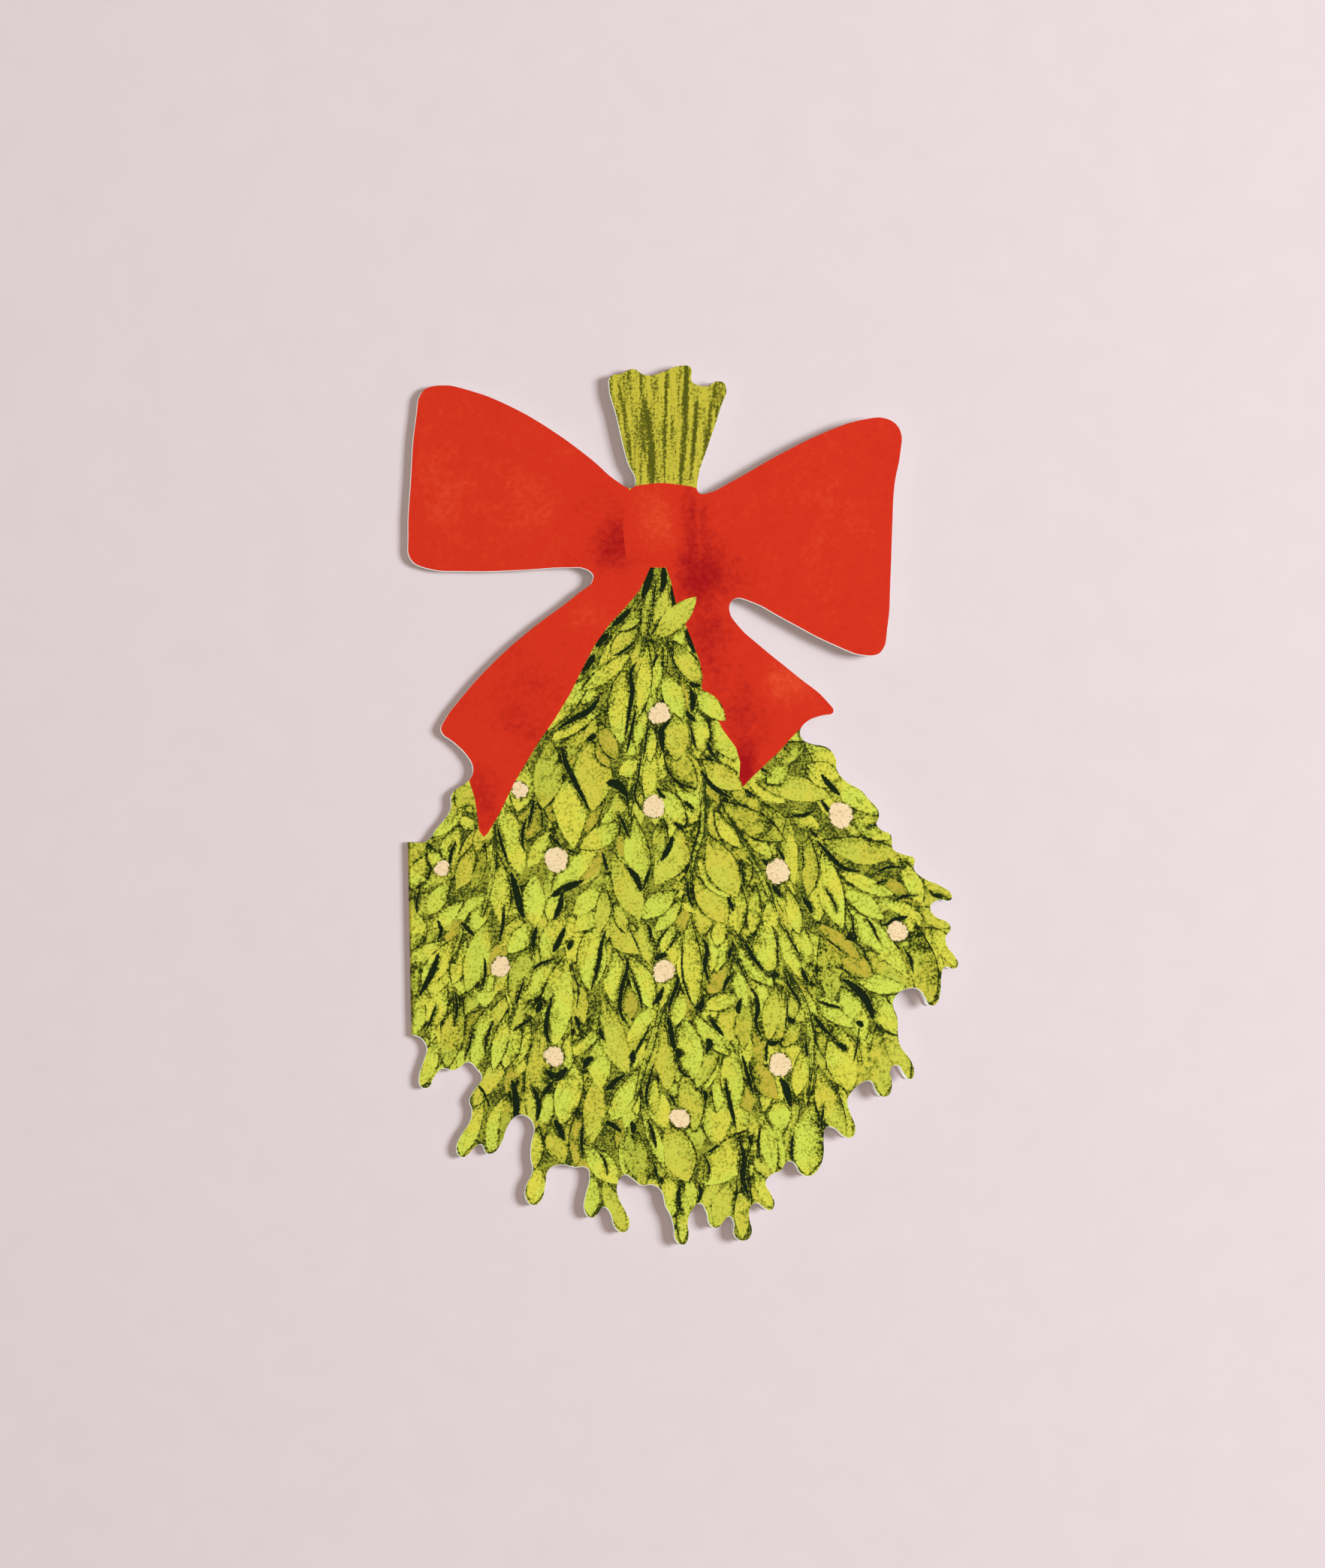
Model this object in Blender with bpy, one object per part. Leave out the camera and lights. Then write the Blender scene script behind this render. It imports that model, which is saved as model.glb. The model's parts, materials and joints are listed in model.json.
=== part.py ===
"""A folded greeting card, die-cut to the outline of a mistletoe bunch hung under a ribbon bow.

The card is one sheet of printed paperboard, folded once along the straight left side of the
foliage. It lies closed on its back: +Z is up, +Y runs to the cut stems at the top, and the fold
runs along Y at the low end of X. The fold is modelled as its own strip, so that the front panel
can turn on it. Lengths are in metres; the die line below is written in millimetres.
"""

import math

import bpy

MM = 0.001

BOARD = 0.4 * MM  # thickness of the paperboard
FOLD_GAP = 0.5 * MM  # between the two inner faces, beside the fold
REST_ANGLE = math.radians(0.9)  # the fold springs the front this far open
SEAM = 0.3 * MM  # clearance between the separate solids at the fold
DIE_SLIP = 0.4 * MM  # the back's die line lies this far left of the front's

FOLD_TOP = 79 * MM
FOLD_BOTTOM = 40.6 * MM
FOLD_ARC_STEPS = 12
DIE_LINE_STEPS = 3  # straight pieces between two points of the die line

# The fold's outer face is a half cylinder of this radius, and the hinge axis is its centre line.
FOLD_RADIUS = BOARD + FOLD_GAP / 2
HINGE_X = FOLD_RADIUS
HINGE_Z = FOLD_RADIUS

# The die line of the front, clockwise from the top of the fold, as seen from the printed side.
# X starts at the fold's outer face, Y near the lowest leaf tips. A smooth curve runs through the
# points, so each leaf tip and each notch takes three or four of them.
LEFT_SHOULDER = [(3.8, 79.1), (5.6, 81.3), (8, 84.2), (8.7, 85.8), (8.8, 88), (10.2, 89.5), (12.3, 90.9)]
LEFT_TAIL = [
    (13.2, 93.2), (12, 95.9), (9.5, 98.5), (7, 100.9), (7.8, 103), (10, 106), (18, 114.5),
    (26, 121.2), (34.8, 127.6), (37.8, 130.6), (36.6, 132.2),
]
LEFT_LOOP = [
    (33, 132.7), (24, 132.4), (12, 132.4), (4.5, 133.2), (1.6, 135), (1.2, 139), (1.9, 150),
    (3.3, 163.5), (4.6, 168.2), (8, 169.4), (14, 168.3), (22, 165), (30, 160.2), (38, 154.1),
    (43.5, 149.3), (45.8, 148.3),
]
CUT_STEMS = [
    (46.5, 148.9), (45, 153.5), (43, 162.5), (41.6, 169.2), (42, 170.4), (44.3, 171),
    (46.5, 171.9), (48.7, 170.7), (50.8, 170.6), (53.3, 171.5), (55.8, 172.3), (58, 171.9),
    (58.1, 169.3), (59.6, 168.3), (61.5, 168.2), (63.2, 169.1), (64.8, 168.3), (63.8, 164),
    (61, 156), (58.9, 149.3), (59.1, 147.1), (61, 147),
]
RIGHT_LOOP = [
    (65, 148.8), (75, 154.2), (85, 158.8), (92, 160.9), (96.8, 160.9), (99.2, 158.6),
    (99.2, 154.5), (97.9, 148), (97.3, 140), (96.7, 129), (95.9, 119.5), (94.5, 114.8),
    (91.8, 114.1), (86, 116), (75, 121.9), (68.5, 125.4), (65.6, 125.8), (64.7, 123.9),
]
RIGHT_TAIL = [
    (66.5, 120.5), (70, 117.1), (78, 110.3), (84.2, 104.7), (84.9, 103.1), (82.5, 102.4),
    (79.6, 101.3), (78.3, 99.6), (78.6, 98),
]
RIGHT_LEAVES = [
    (80.2, 97), (83.6, 96.1), (85.2, 93.9), (85.4, 91.7), (87.2, 89.3), (90, 87.6),
    (91.6, 85.7), (93.4, 83.5), (93.5, 82), (93, 80.9), (94, 79.6), (95.8, 78.6), (96, 77.3),
    (96.2, 75.8), (98.5, 74.6), (100.4, 73.8), (100.2, 71.9), (102, 70), (105.5, 68.3),
    (107.6, 66.5), (107.3, 65.4), (105, 65.5), (103.4, 64.4), (104.2, 62.4), (106.8, 61),
    (107.3, 59.8), (106.3, 58.3), (106.5, 56.5), (108.1, 54.2), (108.6, 52.5), (107.6, 51.8),
    (105.9, 52.2), (105.3, 50.6), (105, 47.4), (104.2, 45.1), (102.9, 44.6), (101.9, 46.2),
    (100.6, 47.9), (98.6, 48.1), (96.4, 47), (95.6, 45.2), (96.4, 42.4), (96.5, 38.5),
    (97, 36.6), (98.9, 33.9), (99.5, 31.4), (98.7, 30.1), (97.5, 31.1), (96.2, 32.9),
    (94.9, 32.4), (95.1, 29.3), (94.4, 27.1), (92.9, 26.8), (91.8, 28), (90.9, 29.8),
    (89.4, 29.8), (87.2, 28), (86.2, 26.2),
]
LOWER_RIGHT_LEAVES = [
    (86.8, 23.5), (87.7, 20.6), (86.8, 18.8), (85.1, 19.2), (83.6, 20.6), (81.9, 20.9),
    (81.4, 19.3), (81.3, 15.6), (80.1, 12.6), (78.2, 11.3), (76.5, 12), (75.4, 13.9),
    (74.1, 14.3), (72.8, 12.6), (70.6, 11.6), (69.7, 10.2), (70.8, 7.8), (71.4, 5.9),
    (70.5, 4.7), (69.2, 5.2), (67.8, 6.2), (66.6, 5.4), (66.4, 3), (66.8, 0.6), (65.9, -1),
    (64.4, -1.2), (63.2, 0), (63.2, 2.4), (62.3, 3.6), (61, 2.4), (59.7, 1.35), (58.4, 2.1),
    (57.8, 4.5), (56.5, 6.3), (55, 4.9), (54.15, 2.8), (54.2, -0.4), (53.1, -1.85),
]
LOWER_LEFT_LEAVES = [
    (51.7, -1), (51.3, 1.6), (50.8, 3.7), (49.7, 6), (49, 8.8), (47.4, 10.1), (45, 10.1),
    (43.3, 11.4), (41.7, 12.2), (40.4, 10.6), (40.4, 8.2), (41.9, 4.9), (42.6, 2.5),
    (41.4, 0.8), (39.8, 1.6), (38.7, 4.8), (37.4, 5.9), (36.3, 4.6), (34.9, 3.8), (33.7, 5.2),
    (33.9, 8.2), (34.8, 11.8), (34.3, 13.7), (32, 13.9), (29, 14.4), (26.8, 13.6), (26.1, 11),
    (25.2, 7.6), (23.5, 6.5), (22.1, 7.8), (22.2, 10.4), (23.5, 13.2), (23.2, 16), (23.4, 19),
    (24, 21.8), (22.9, 23.9), (21, 24.4), (19.2, 23), (17.3, 18.7), (15.6, 16.9), (14.4, 17),
    (13.5, 18.7), (12, 18.1), (10.8, 16.8), (9.5, 16.25), (8.5, 17.7), (9.4, 20.5),
    (11.3, 23.4), (11.7, 25.6), (11.25, 27.5), (12.6, 30), (13.8, 32), (12.9, 33.6),
    (11.1, 35.1), (9.6, 34.2), (8.2, 33.5), (6, 33.9), (4.4, 32.3), (3.2, 30.3), (1.9, 30.2),
    (1.3, 31.7), (2.3, 35.4), (3, 37.9), (2.1, 39.8),
]
DIE_LINE = (
    LEFT_SHOULDER + LEFT_TAIL + LEFT_LOOP + CUT_STEMS + RIGHT_LOOP + RIGHT_TAIL
    + RIGHT_LEAVES + LOWER_RIGHT_LEAVES + LOWER_LEFT_LEAVES
)

PRINTED_GREEN = (0.56, 0.55, 0.05)
PLAIN_WHITE = (0.82, 0.80, 0.76)


def clear_scene():
    for obj in list(bpy.data.objects):
        bpy.data.objects.remove(obj, do_unlink=True)


def board_finish(name, colour, roughness):
    """Uncoated paperboard: one colour, hardly any shine, no metal."""
    material = bpy.data.materials.new(name)
    material.use_nodes = True
    shader = material.node_tree.nodes["Principled BSDF"]
    shader.inputs["Base Color"].default_value = (*colour, 1)
    shader.inputs["Roughness"].default_value = roughness
    shader.inputs["Metallic"].default_value = 0
    return material


def flat_curve(name, thickness):
    """An empty 2D curve that fills its outline and is this thick, centred on its own plane."""
    curve = bpy.data.curves.new(name, "CURVE")
    curve.dimensions = "2D"
    curve.fill_mode = "BOTH"
    curve.extrude = thickness / 2
    return curve


def placed(curve, collection, parent, material):
    obj = bpy.data.objects.new(curve.name, curve)
    curve.materials.append(material)
    collection.objects.link(obj)
    obj.parent = parent
    return obj


def panel(name, slip, collection, parent, material):
    """One leaf of the card: the die line, closed by the straight edge where the fold begins.

    Its own X and Y are measured from the hinge axis, so it turns about its origin.
    """
    outline = [(x * MM - slip - HINGE_X, y * MM) for x, y in DIE_LINE]
    corners = [(SEAM, FOLD_BOTTOM), (SEAM, FOLD_TOP)]

    curve = flat_curve(name, BOARD)
    curve.resolution_u = DIE_LINE_STEPS
    spline = curve.splines.new("BEZIER")
    spline.use_cyclic_u = True
    spline.bezier_points.add(len(corners) + len(outline) - 1)
    for point, place in zip(spline.bezier_points, corners + outline):
        point.co = (*place, 0)
        kind = "VECTOR" if place in corners else "AUTO"
        point.handle_left_type = kind
        point.handle_right_type = kind
    return placed(curve, collection, parent, material)


def arc(radius, start, end):
    """Points from one angle to another about the hinge axis, counted in radians from +X."""
    turn = (end - start) / FOLD_ARC_STEPS
    angles = [start + step * turn for step in range(FOLD_ARC_STEPS + 1)]
    return [(radius * math.cos(angle), radius * math.sin(angle)) for angle in angles]


def fold_strip(name, collection, parent, material):
    """The bent strip that joins the panels: a half ring of board, drawn across and run along Y."""
    down, up = -math.pi / 2, -1.5 * math.pi + REST_ANGLE
    outer = arc(FOLD_RADIUS, down, up)
    inner = arc(FOLD_GAP / 2, up, down)

    curve = flat_curve(name, FOLD_TOP - FOLD_BOTTOM)
    spline = curve.splines.new("POLY")
    spline.use_cyclic_u = True
    spline.points.add(len(outer) + len(inner) - 1)
    for point, place in zip(spline.points, outer + inner):
        point.co = (*place, 0, 1)
    strip = placed(curve, collection, parent, material)
    strip.rotation_euler.x = math.pi / 2
    strip.location.y = (FOLD_TOP + FOLD_BOTTOM) / 2
    return strip


def empty(name, collection, parent=None):
    obj = bpy.data.objects.new(name, None)
    collection.objects.link(obj)
    obj.parent = parent
    return obj


def centre_on_origin(root, parts):
    """Moves the card so that the middle of its footprint is over the origin; its base is at 0."""
    bpy.context.view_layer.update()
    graph = bpy.context.evaluated_depsgraph_get()
    places = []
    for obj in parts:
        solid = obj.evaluated_get(graph)
        places += [solid.matrix_world @ vertex.co for vertex in solid.to_mesh().vertices]
        solid.to_mesh_clear()
    for axis in (0, 1):
        reach = [place[axis] for place in places]
        root.location[axis] = -(min(reach) + max(reach)) / 2


def build_card():
    collection = bpy.data.collections.new("mistletoe_card")
    bpy.context.scene.collection.children.link(collection)
    printed = board_finish("printed_board", PRINTED_GREEN, 0.55)
    plain = board_finish("plain_board", PLAIN_WHITE, 0.8)

    card = empty("card", collection)
    hinge = empty("hinge_axis", collection, card)
    hinge.location = (HINGE_X, 0, HINGE_Z)
    opening = empty("front_swing", collection, hinge)
    opening.rotation_euler.y = -REST_ANGLE

    inner_face = FOLD_GAP / 2
    back = panel("back_panel", DIE_SLIP, collection, hinge, plain)
    back.location.z = -inner_face - BOARD / 2
    front = panel("front_panel", 0, collection, opening, printed)
    front.location.z = inner_face + BOARD / 2
    fold = fold_strip("fold_strip", collection, hinge, printed)
    centre_on_origin(card, [back, front, fold])


clear_scene()
build_card()
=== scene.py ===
import json
import math
import random

import bmesh
import bpy
import numpy as np
from mathutils import Matrix, Vector
from mathutils.geometry import delaunay_2d_cdt


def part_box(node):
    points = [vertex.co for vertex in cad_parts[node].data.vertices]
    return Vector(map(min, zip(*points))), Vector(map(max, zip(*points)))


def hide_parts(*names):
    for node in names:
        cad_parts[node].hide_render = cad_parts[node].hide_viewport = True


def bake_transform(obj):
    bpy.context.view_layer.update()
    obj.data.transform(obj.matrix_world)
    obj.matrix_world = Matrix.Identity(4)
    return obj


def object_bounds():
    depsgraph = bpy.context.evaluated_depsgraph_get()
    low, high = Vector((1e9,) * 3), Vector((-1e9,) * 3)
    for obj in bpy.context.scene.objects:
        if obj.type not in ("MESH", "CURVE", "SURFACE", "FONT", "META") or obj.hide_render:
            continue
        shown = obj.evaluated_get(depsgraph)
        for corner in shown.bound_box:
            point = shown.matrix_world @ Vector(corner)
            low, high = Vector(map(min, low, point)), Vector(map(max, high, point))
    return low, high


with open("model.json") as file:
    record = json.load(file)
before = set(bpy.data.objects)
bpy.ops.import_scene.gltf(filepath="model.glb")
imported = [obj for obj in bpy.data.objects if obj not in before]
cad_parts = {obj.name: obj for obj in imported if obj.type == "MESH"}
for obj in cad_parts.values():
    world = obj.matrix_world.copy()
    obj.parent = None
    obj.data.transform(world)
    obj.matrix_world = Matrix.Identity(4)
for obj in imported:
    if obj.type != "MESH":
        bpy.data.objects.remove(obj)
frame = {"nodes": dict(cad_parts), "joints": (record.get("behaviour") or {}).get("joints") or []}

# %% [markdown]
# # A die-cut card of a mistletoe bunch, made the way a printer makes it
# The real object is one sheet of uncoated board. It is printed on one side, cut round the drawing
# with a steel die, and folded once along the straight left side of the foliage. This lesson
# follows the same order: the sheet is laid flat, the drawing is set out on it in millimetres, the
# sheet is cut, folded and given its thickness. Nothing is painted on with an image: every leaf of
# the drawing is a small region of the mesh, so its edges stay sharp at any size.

MM = 0.001
cad_box = [list(corner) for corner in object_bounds()]
print("the card's box, mm:", [[round(value / MM, 2) for value in corner] for corner in cad_box])

# %% [markdown]
# ## What the parts already fix
# The hinge line, the board's thickness and the small angle at which the fold holds the front open
# are all read from the parts, so the sheet lands exactly where they are. The drawing has its own
# ruler: X starts at the outside of the fold, and Y is zero a little above the lowest leaf tips.

# %% Sizes read from the parts
FOLD = frame["joints"][0]
HINGE = Vector(FOLD["pos_m"]) / MM
BOARD = (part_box("back_panel")[1].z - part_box("back_panel")[0].z) / MM
RADIUS = HINGE.z  # outer radius of the fold; the back's outer face is on the table, at z = 0
LOWEST_LEAF = -1.85  # on the drawing's ruler
RULER_Y = LOWEST_LEAF - cad_box[0][1] / MM

up_faces = [face for face in frame["nodes"]["front_panel"].data.polygons if face.normal.z > 0.5]
front_normal = max(up_faces, key=lambda face: face.area).normal
REST_ANGLE = math.atan2(-front_normal.x, front_normal.z)
FOLD_ARC = RADIUS * (math.pi - REST_ANGLE)  # width of the strip of sheet that goes round the fold
print(f"board {BOARD:.2f} mm, fold radius {RADIUS:.2f} mm,",
      f"rest angle {math.degrees(REST_ANGLE):.2f} degrees")

# %% [markdown]
# ## Camera, table and light
# The card lies on a pale table and is seen from straight above, turned by about one degree. A cool,
# broad light comes from the right, so the lifted front throws a soft, narrow shadow to the left,
# and a warm room fills the rest. The view transform is the plain one, which leaves the ink colours
# as they were mixed. All this is made first, because every finish is judged in this light.

# %% Camera, table and light
VIEW_CENTRE = (50.8, 89.55)  # on the drawing's ruler, mm
VIEW_HEIGHT = 311.5  # mm of table from the top of the view to its bottom
LENS = 85  # mm, a short telephoto, so that the card is seen almost without perspective
SENSOR = 36  # mm, along the view's height
CAMERA_ROLL = -1.1  # degrees
ROOM_COLOUR, ROOM_STRENGTH = (1.0, 0.88, 0.79, 1), 0.28
TABLE_SIZE = 4  # m
TABLE_GAP = 0.05  # mm between the table and the card, so that the two faces never coincide


def on_table(x, y, z=0.0):
    """A point of the drawing's ruler as a place in metres."""
    return Vector((x - RADIUS + HINGE.x, y - RULER_Y, z)) * MM


def deselect():
    bpy.ops.object.select_all(action="DESELECT")


def add_camera():
    distance = VIEW_HEIGHT * LENS / SENSOR * MM
    place = on_table(*VIEW_CENTRE) + Vector((0, 0, distance))
    deselect()
    bpy.ops.object.camera_add(location=place, rotation=(0, 0, math.radians(CAMERA_ROLL)))
    camera = bpy.context.object
    camera.name = "camera_above"
    camera.data.sensor_fit = "VERTICAL"
    camera.data.sensor_height = SENSOR
    camera.data.lens = LENS
    camera.data.clip_start = 0.01
    bpy.context.scene.camera = camera


def add_lamp(name, place, size, watts, tint):
    """A square area lamp that looks at the card. Its place and size are in metres."""
    deselect()
    bpy.ops.object.light_add(type="AREA", location=place)
    lamp = bpy.context.object
    lamp.name = name
    lamp.data.size = size
    lamp.data.energy = watts
    lamp.data.color = tint
    lamp.rotation_euler = (-Vector(place)).to_track_quat("-Z", "Y").to_euler()


def srgb(red, green, blue):
    """A colour given as 0-255 values, made linear for a shader."""
    parts = [value / 255 for value in (red, green, blue)]
    return tuple(v / 12.92 if v <= 0.04045 else ((v + 0.055) / 1.055) ** 2.4 for v in parts) + (1.0,)


add_camera()
add_lamp("window", (1.62, 0.16, 1.2), 0.62, 48.0, (0.85, 0.94, 1.0))
add_lamp("ceiling", (-0.25, 0.1, 1.3), 1.6, 4.0, (1.0, 0.9, 0.82))
bpy.context.scene.view_settings.view_transform = "Standard"  # ink colours stay as they were mixed
world = bpy.context.scene.world or bpy.data.worlds.new("soft_room")
bpy.context.scene.world = world
world.use_nodes = True
background = world.node_tree.nodes["Background"]
background.inputs["Color"].default_value = ROOM_COLOUR
background.inputs["Strength"].default_value = ROOM_STRENGTH

deselect()
bpy.ops.mesh.primitive_plane_add(size=TABLE_SIZE, location=(0, 0, -TABLE_GAP * MM))
table = bpy.context.object
table.name = "table"
print("camera, two lamps and a table")

# %% [markdown]
# ## The sheet's outline
# A die cuts both leaves of the folded card at once, so the outline is the parts' own border. The
# border of each panel's outer face is walked in order, laid flat beside the fold, and rounded with
# a spline, because a steel die leaves no corners between its bends. The back lies on the other
# side of the fold, so it comes out mirrored.

# %% Outline of the flat sheet
STRAIGHT_SIDE = 0.35  # mm from the hinge line; the panels end there, and the fold begins
FOLD_LINE = RADIUS  # the front's flat face ends here on the ruler; the fold's strip is left of it
BACK_LINE = FOLD_LINE - FOLD_ARC
SLACK = 0.05  # mm, within which two heights count as the same
MERGE = 0.005  # mm, within which two of a part's points are one


def border(name, side):
    """The ordered border of the faces of a panel that look up (side 1) or down (side -1)."""
    shape = bmesh.new()
    shape.from_mesh(frame["nodes"][name].data)
    bmesh.ops.remove_doubles(shape, verts=shape.verts, dist=MERGE * MM)
    shape.normal_update()
    hidden = [face for face in shape.faces if face.normal.z * side < 0.5]
    bmesh.ops.delete(shape, geom=hidden, context="FACES")
    edge = next(edge for edge in shape.edges if edge.is_boundary)
    first, here = edge.verts
    loop = [first.co.copy()]
    while here != first:
        loop.append(here.co.copy())
        edge = next(other for other in here.link_edges if other.is_boundary and other != edge)
        here = edge.other_vert(here)
    shape.free()
    return loop


def laid_flat(point, side):
    """A point of a panel's outer face as a point of the flat sheet, on the drawing's ruler."""
    across, height = point.x / MM - HINGE.x, point.z / MM - HINGE.z
    y = point.y / MM + RULER_Y
    if side < 0:
        return BACK_LINE - across, y
    return FOLD_LINE + across * math.cos(REST_ANGLE) + height * math.sin(REST_ANGLE), y


def on_straight_side(point):
    beside_fold = BACK_LINE - STRAIGHT_SIDE < point[0] < FOLD_LINE + STRAIGHT_SIDE
    return beside_fold and fold_foot - SLACK < point[1] < fold_top + SLACK


def from_fold_top(loop):
    """The loop without its straight side, from the top of the fold round to its foot."""
    straight = [on_straight_side(point) for point in loop]
    start = next(i for i in range(len(loop)) if straight[i] and not straight[i - 1])
    loop = [loop[i] for i in (*range(start, len(loop)), *range(start)) if not straight[i]]
    return loop if loop[0][1] > loop[-1][1] else loop[::-1]


def rounded(points, steps):
    """A Catmull-Rom spline through the points, which keeps both ends."""
    ends = [points[0]] + points + [points[-1]]
    curve = []
    for a, b, c, d in zip(ends, ends[1:], ends[2:], ends[3:]):
        for step in range(steps):
            t = step / steps
            curve.append(tuple(
                0.5 * (2 * b[k] + (c[k] - a[k]) * t
                       + (2 * a[k] - 5 * b[k] + 4 * c[k] - d[k]) * t * t
                       + (3 * b[k] - a[k] - 3 * c[k] + d[k]) * t ** 3)
                for k in (0, 1)
            ))
    return curve + [points[-1]]


strip_heights = [point.co.y / MM + RULER_Y for point in frame["nodes"]["fold_strip"].data.vertices]
fold_foot, fold_top = min(strip_heights), max(strip_heights)
front_line = from_fold_top([laid_flat(point, 1) for point in border("front_panel", 1)])
back_line = from_fold_top([laid_flat(point, -1) for point in border("back_panel", -1)])
sheet_outline = (
    [(FOLD_LINE, fold_top)] + rounded(front_line, 2) + [(FOLD_LINE, fold_foot)]
    + [(BACK_LINE, fold_foot)] + rounded(back_line[::-1], 2) + [(BACK_LINE, fold_top)]
)
print(f"die line of {len(sheet_outline)} points, fold from {fold_foot:.1f} to {fold_top:.1f} mm")

# %% [markdown]
# ## One leaf of the drawing
# A mistletoe leaf is a long paddle: narrow at its base, widest past the middle, blunt at its tip. It
# could be a Bezier outline drawn by hand some three hundred times. Here one formula gives its half
# width at each share of its length, so a leaf takes only its base, its tip and its width. Each
# shape also knows where a point lies on it, as a share of its length, a distance across and its
# half width there: the pencil shading is worked out from those three numbers.

# %% The shapes that the drawing is made of
STATIONS = 12  # cross-sections of a leaf
BERRY_STEPS = 26  # points round a berry
HALO = 0.95  # mm; a leaf darkens what lies under it this far round

LIGHT, YELLOW, MIDDLE, OCHRE, DARK = "l", "y", "m", "o", "d"
# How light the green is, how much ochre is in it, and how strong its pencil grain is.
LEAF_INKS = {
    LIGHT: (0.92, 0.0, 0.34), YELLOW: (0.9, 0.32, 0.36), MIDDLE: (0.62, 0.1, 0.62),
    OCHRE: (0.74, 0.8, 0.55), DARK: (0.3, 0.1, 0.9),
}


class Leaf:
    """A paddle from base to tip. It bows sideways by this share of its length."""

    finish = "leaf"

    def __init__(self, base, tip, width, ink, bow=0.0, side=0.0):
        self.base, self.length = Vector(base), (Vector(tip) - Vector(base)).length
        self.along = (Vector(tip) - Vector(base)).normalized()
        self.across = Vector((-self.along.y, self.along.x))
        self.width, self.ink, self.bow, self.side = width, ink, bow * self.length, side

    def half_width(self, share):
        """The first power sets the widest part past the middle, and the second fills out the sides."""
        return self.width / 2 * max(math.sin(math.pi * share ** 1.15), 0) ** 0.85

    def middle(self, share):
        bend = 4 * self.bow * share * (1 - share)
        return self.base + self.along * share * self.length + self.across * bend

    def outline(self):
        shares = [step / STATIONS for step in range(STATIONS + 1)]
        up = [(self.middle(share), self.across * self.half_width(share)) for share in shares]
        return [middle + half for middle, half in up] + [middle - half for middle, half in up[-2:0:-1]]

    def ribs(self):
        """Lines of points down the middle, which keep the shading true inside the shape."""
        return [[self.middle(step / STATIONS) for step in range(STATIONS + 1)]]

    def place(self, point):
        """(share of the length, distance across, half width) at a point."""
        offset = Vector(point) - self.base
        share = min(max(offset.dot(self.along) / self.length, 0), 1)
        bend = 4 * self.bow * share * (1 - share)
        return share, offset.dot(self.across) - bend, self.half_width(share)

    def outside(self, point):
        """How far outside the shape a point lies."""
        share, across, half = self.place(point)
        beyond = (Vector(point) - self.base).dot(self.along) - share * self.length
        return math.hypot(max(abs(across) - half, 0), beyond)


class Stroke:
    """A brush or pencil stroke along a few points, which swells between its pointed ends."""

    def __init__(self, width, *points, finish="gap", ink=LEAF_INKS[LIGHT], blunt=False):
        self.path = [Vector(point) for point in rounded(list(points), 4)]
        self.width, self.finish, self.ink, self.blunt, self.side = width, finish, ink, blunt, 0.0
        self.shares = np.linspace(0, 1, len(self.path))

    def half_width(self, share):
        return self.width / 2 * (1 if self.blunt else max(math.sin(math.pi * share), 0.02) ** 0.6)

    def outline(self):
        left, right = [], []
        for index, (point, share) in enumerate(zip(self.path, self.shares)):
            ahead = self.path[min(index + 1, len(self.path) - 1)] - self.path[max(index - 1, 0)]
            side = Vector((-ahead.y, ahead.x)).normalized() * self.half_width(share)
            left.append(point + side)
            right.append(point - side)
        return left + right[::-1]

    def ribs(self):
        return [self.path]

    def place(self, point):
        point = Vector(point)
        near = min(range(len(self.path)), key=lambda step: (self.path[step] - point).length_squared)
        a, b = self.path[max(near - 1, 0)], self.path[min(near + 1, len(self.path) - 1)]
        along = (b - a).normalized()
        across = (point - self.path[near]).dot(Vector((-along.y, along.x)))
        return float(self.shares[near]), across, self.half_width(self.shares[near])

    def outside(self, point):
        return max(abs(self.place(point)[1]) - self.place(point)[2], 0)


class Berry:
    finish, side = "berry", 0.0

    def __init__(self, x, y, radius):
        self.centre, self.radius, self.ink = Vector((x, y)), radius, (1.0, 0.0, 0.0)

    def reach(self, turn):
        """The radius in one direction; a berry drawn by hand is a little out of round."""
        oval, dent = math.sin(2 * turn + self.centre.x), math.sin(3 * turn + self.centre.y)
        return self.radius * (1 + 0.05 * oval + 0.035 * dent)

    def outline(self):
        turns = [2 * math.pi * step / BERRY_STEPS for step in range(BERRY_STEPS)]
        return [self.centre + Vector((math.cos(a), math.sin(a))) * self.reach(a) for a in turns]

    def ribs(self):
        return [[self.centre, self.centre + Vector((0.01, 0))]]

    def place(self, point):
        offset = Vector(point) - self.centre
        return 0.5, offset.length, self.reach(math.atan2(offset.y, offset.x))

    def outside(self, point):
        _, distance, reach = self.place(point)
        return max(distance - reach, 0)


class Field:
    """A flat area of one finish, such as the ribbon, given by its own outline."""

    side, ink = 0.0, (0.5, 0.0, 0.0)

    def __init__(self, finish, points):
        self.finish, self.points = finish, [Vector(point) for point in points]

    def outline(self):
        return self.points

    def ribs(self):
        return []

    def place(self, point):
        return 0.5, 0.0, 1.0

    def outside(self, point):
        return 0.0


print("shapes: leaf, stroke, berry, field")

# %% [markdown]
# ## The leaves
# The drawing hangs its sprigs down from the knot and lets them fan out. Each row below gives leaves
# as base x, base y, tip x, tip y, width and ink. The rows go region by region, so that one region
# can be redrawn alone. A leaf whose base is higher is drawn later, because on a hanging bunch each
# pair of leaves covers the bases of the pair below it.

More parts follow.
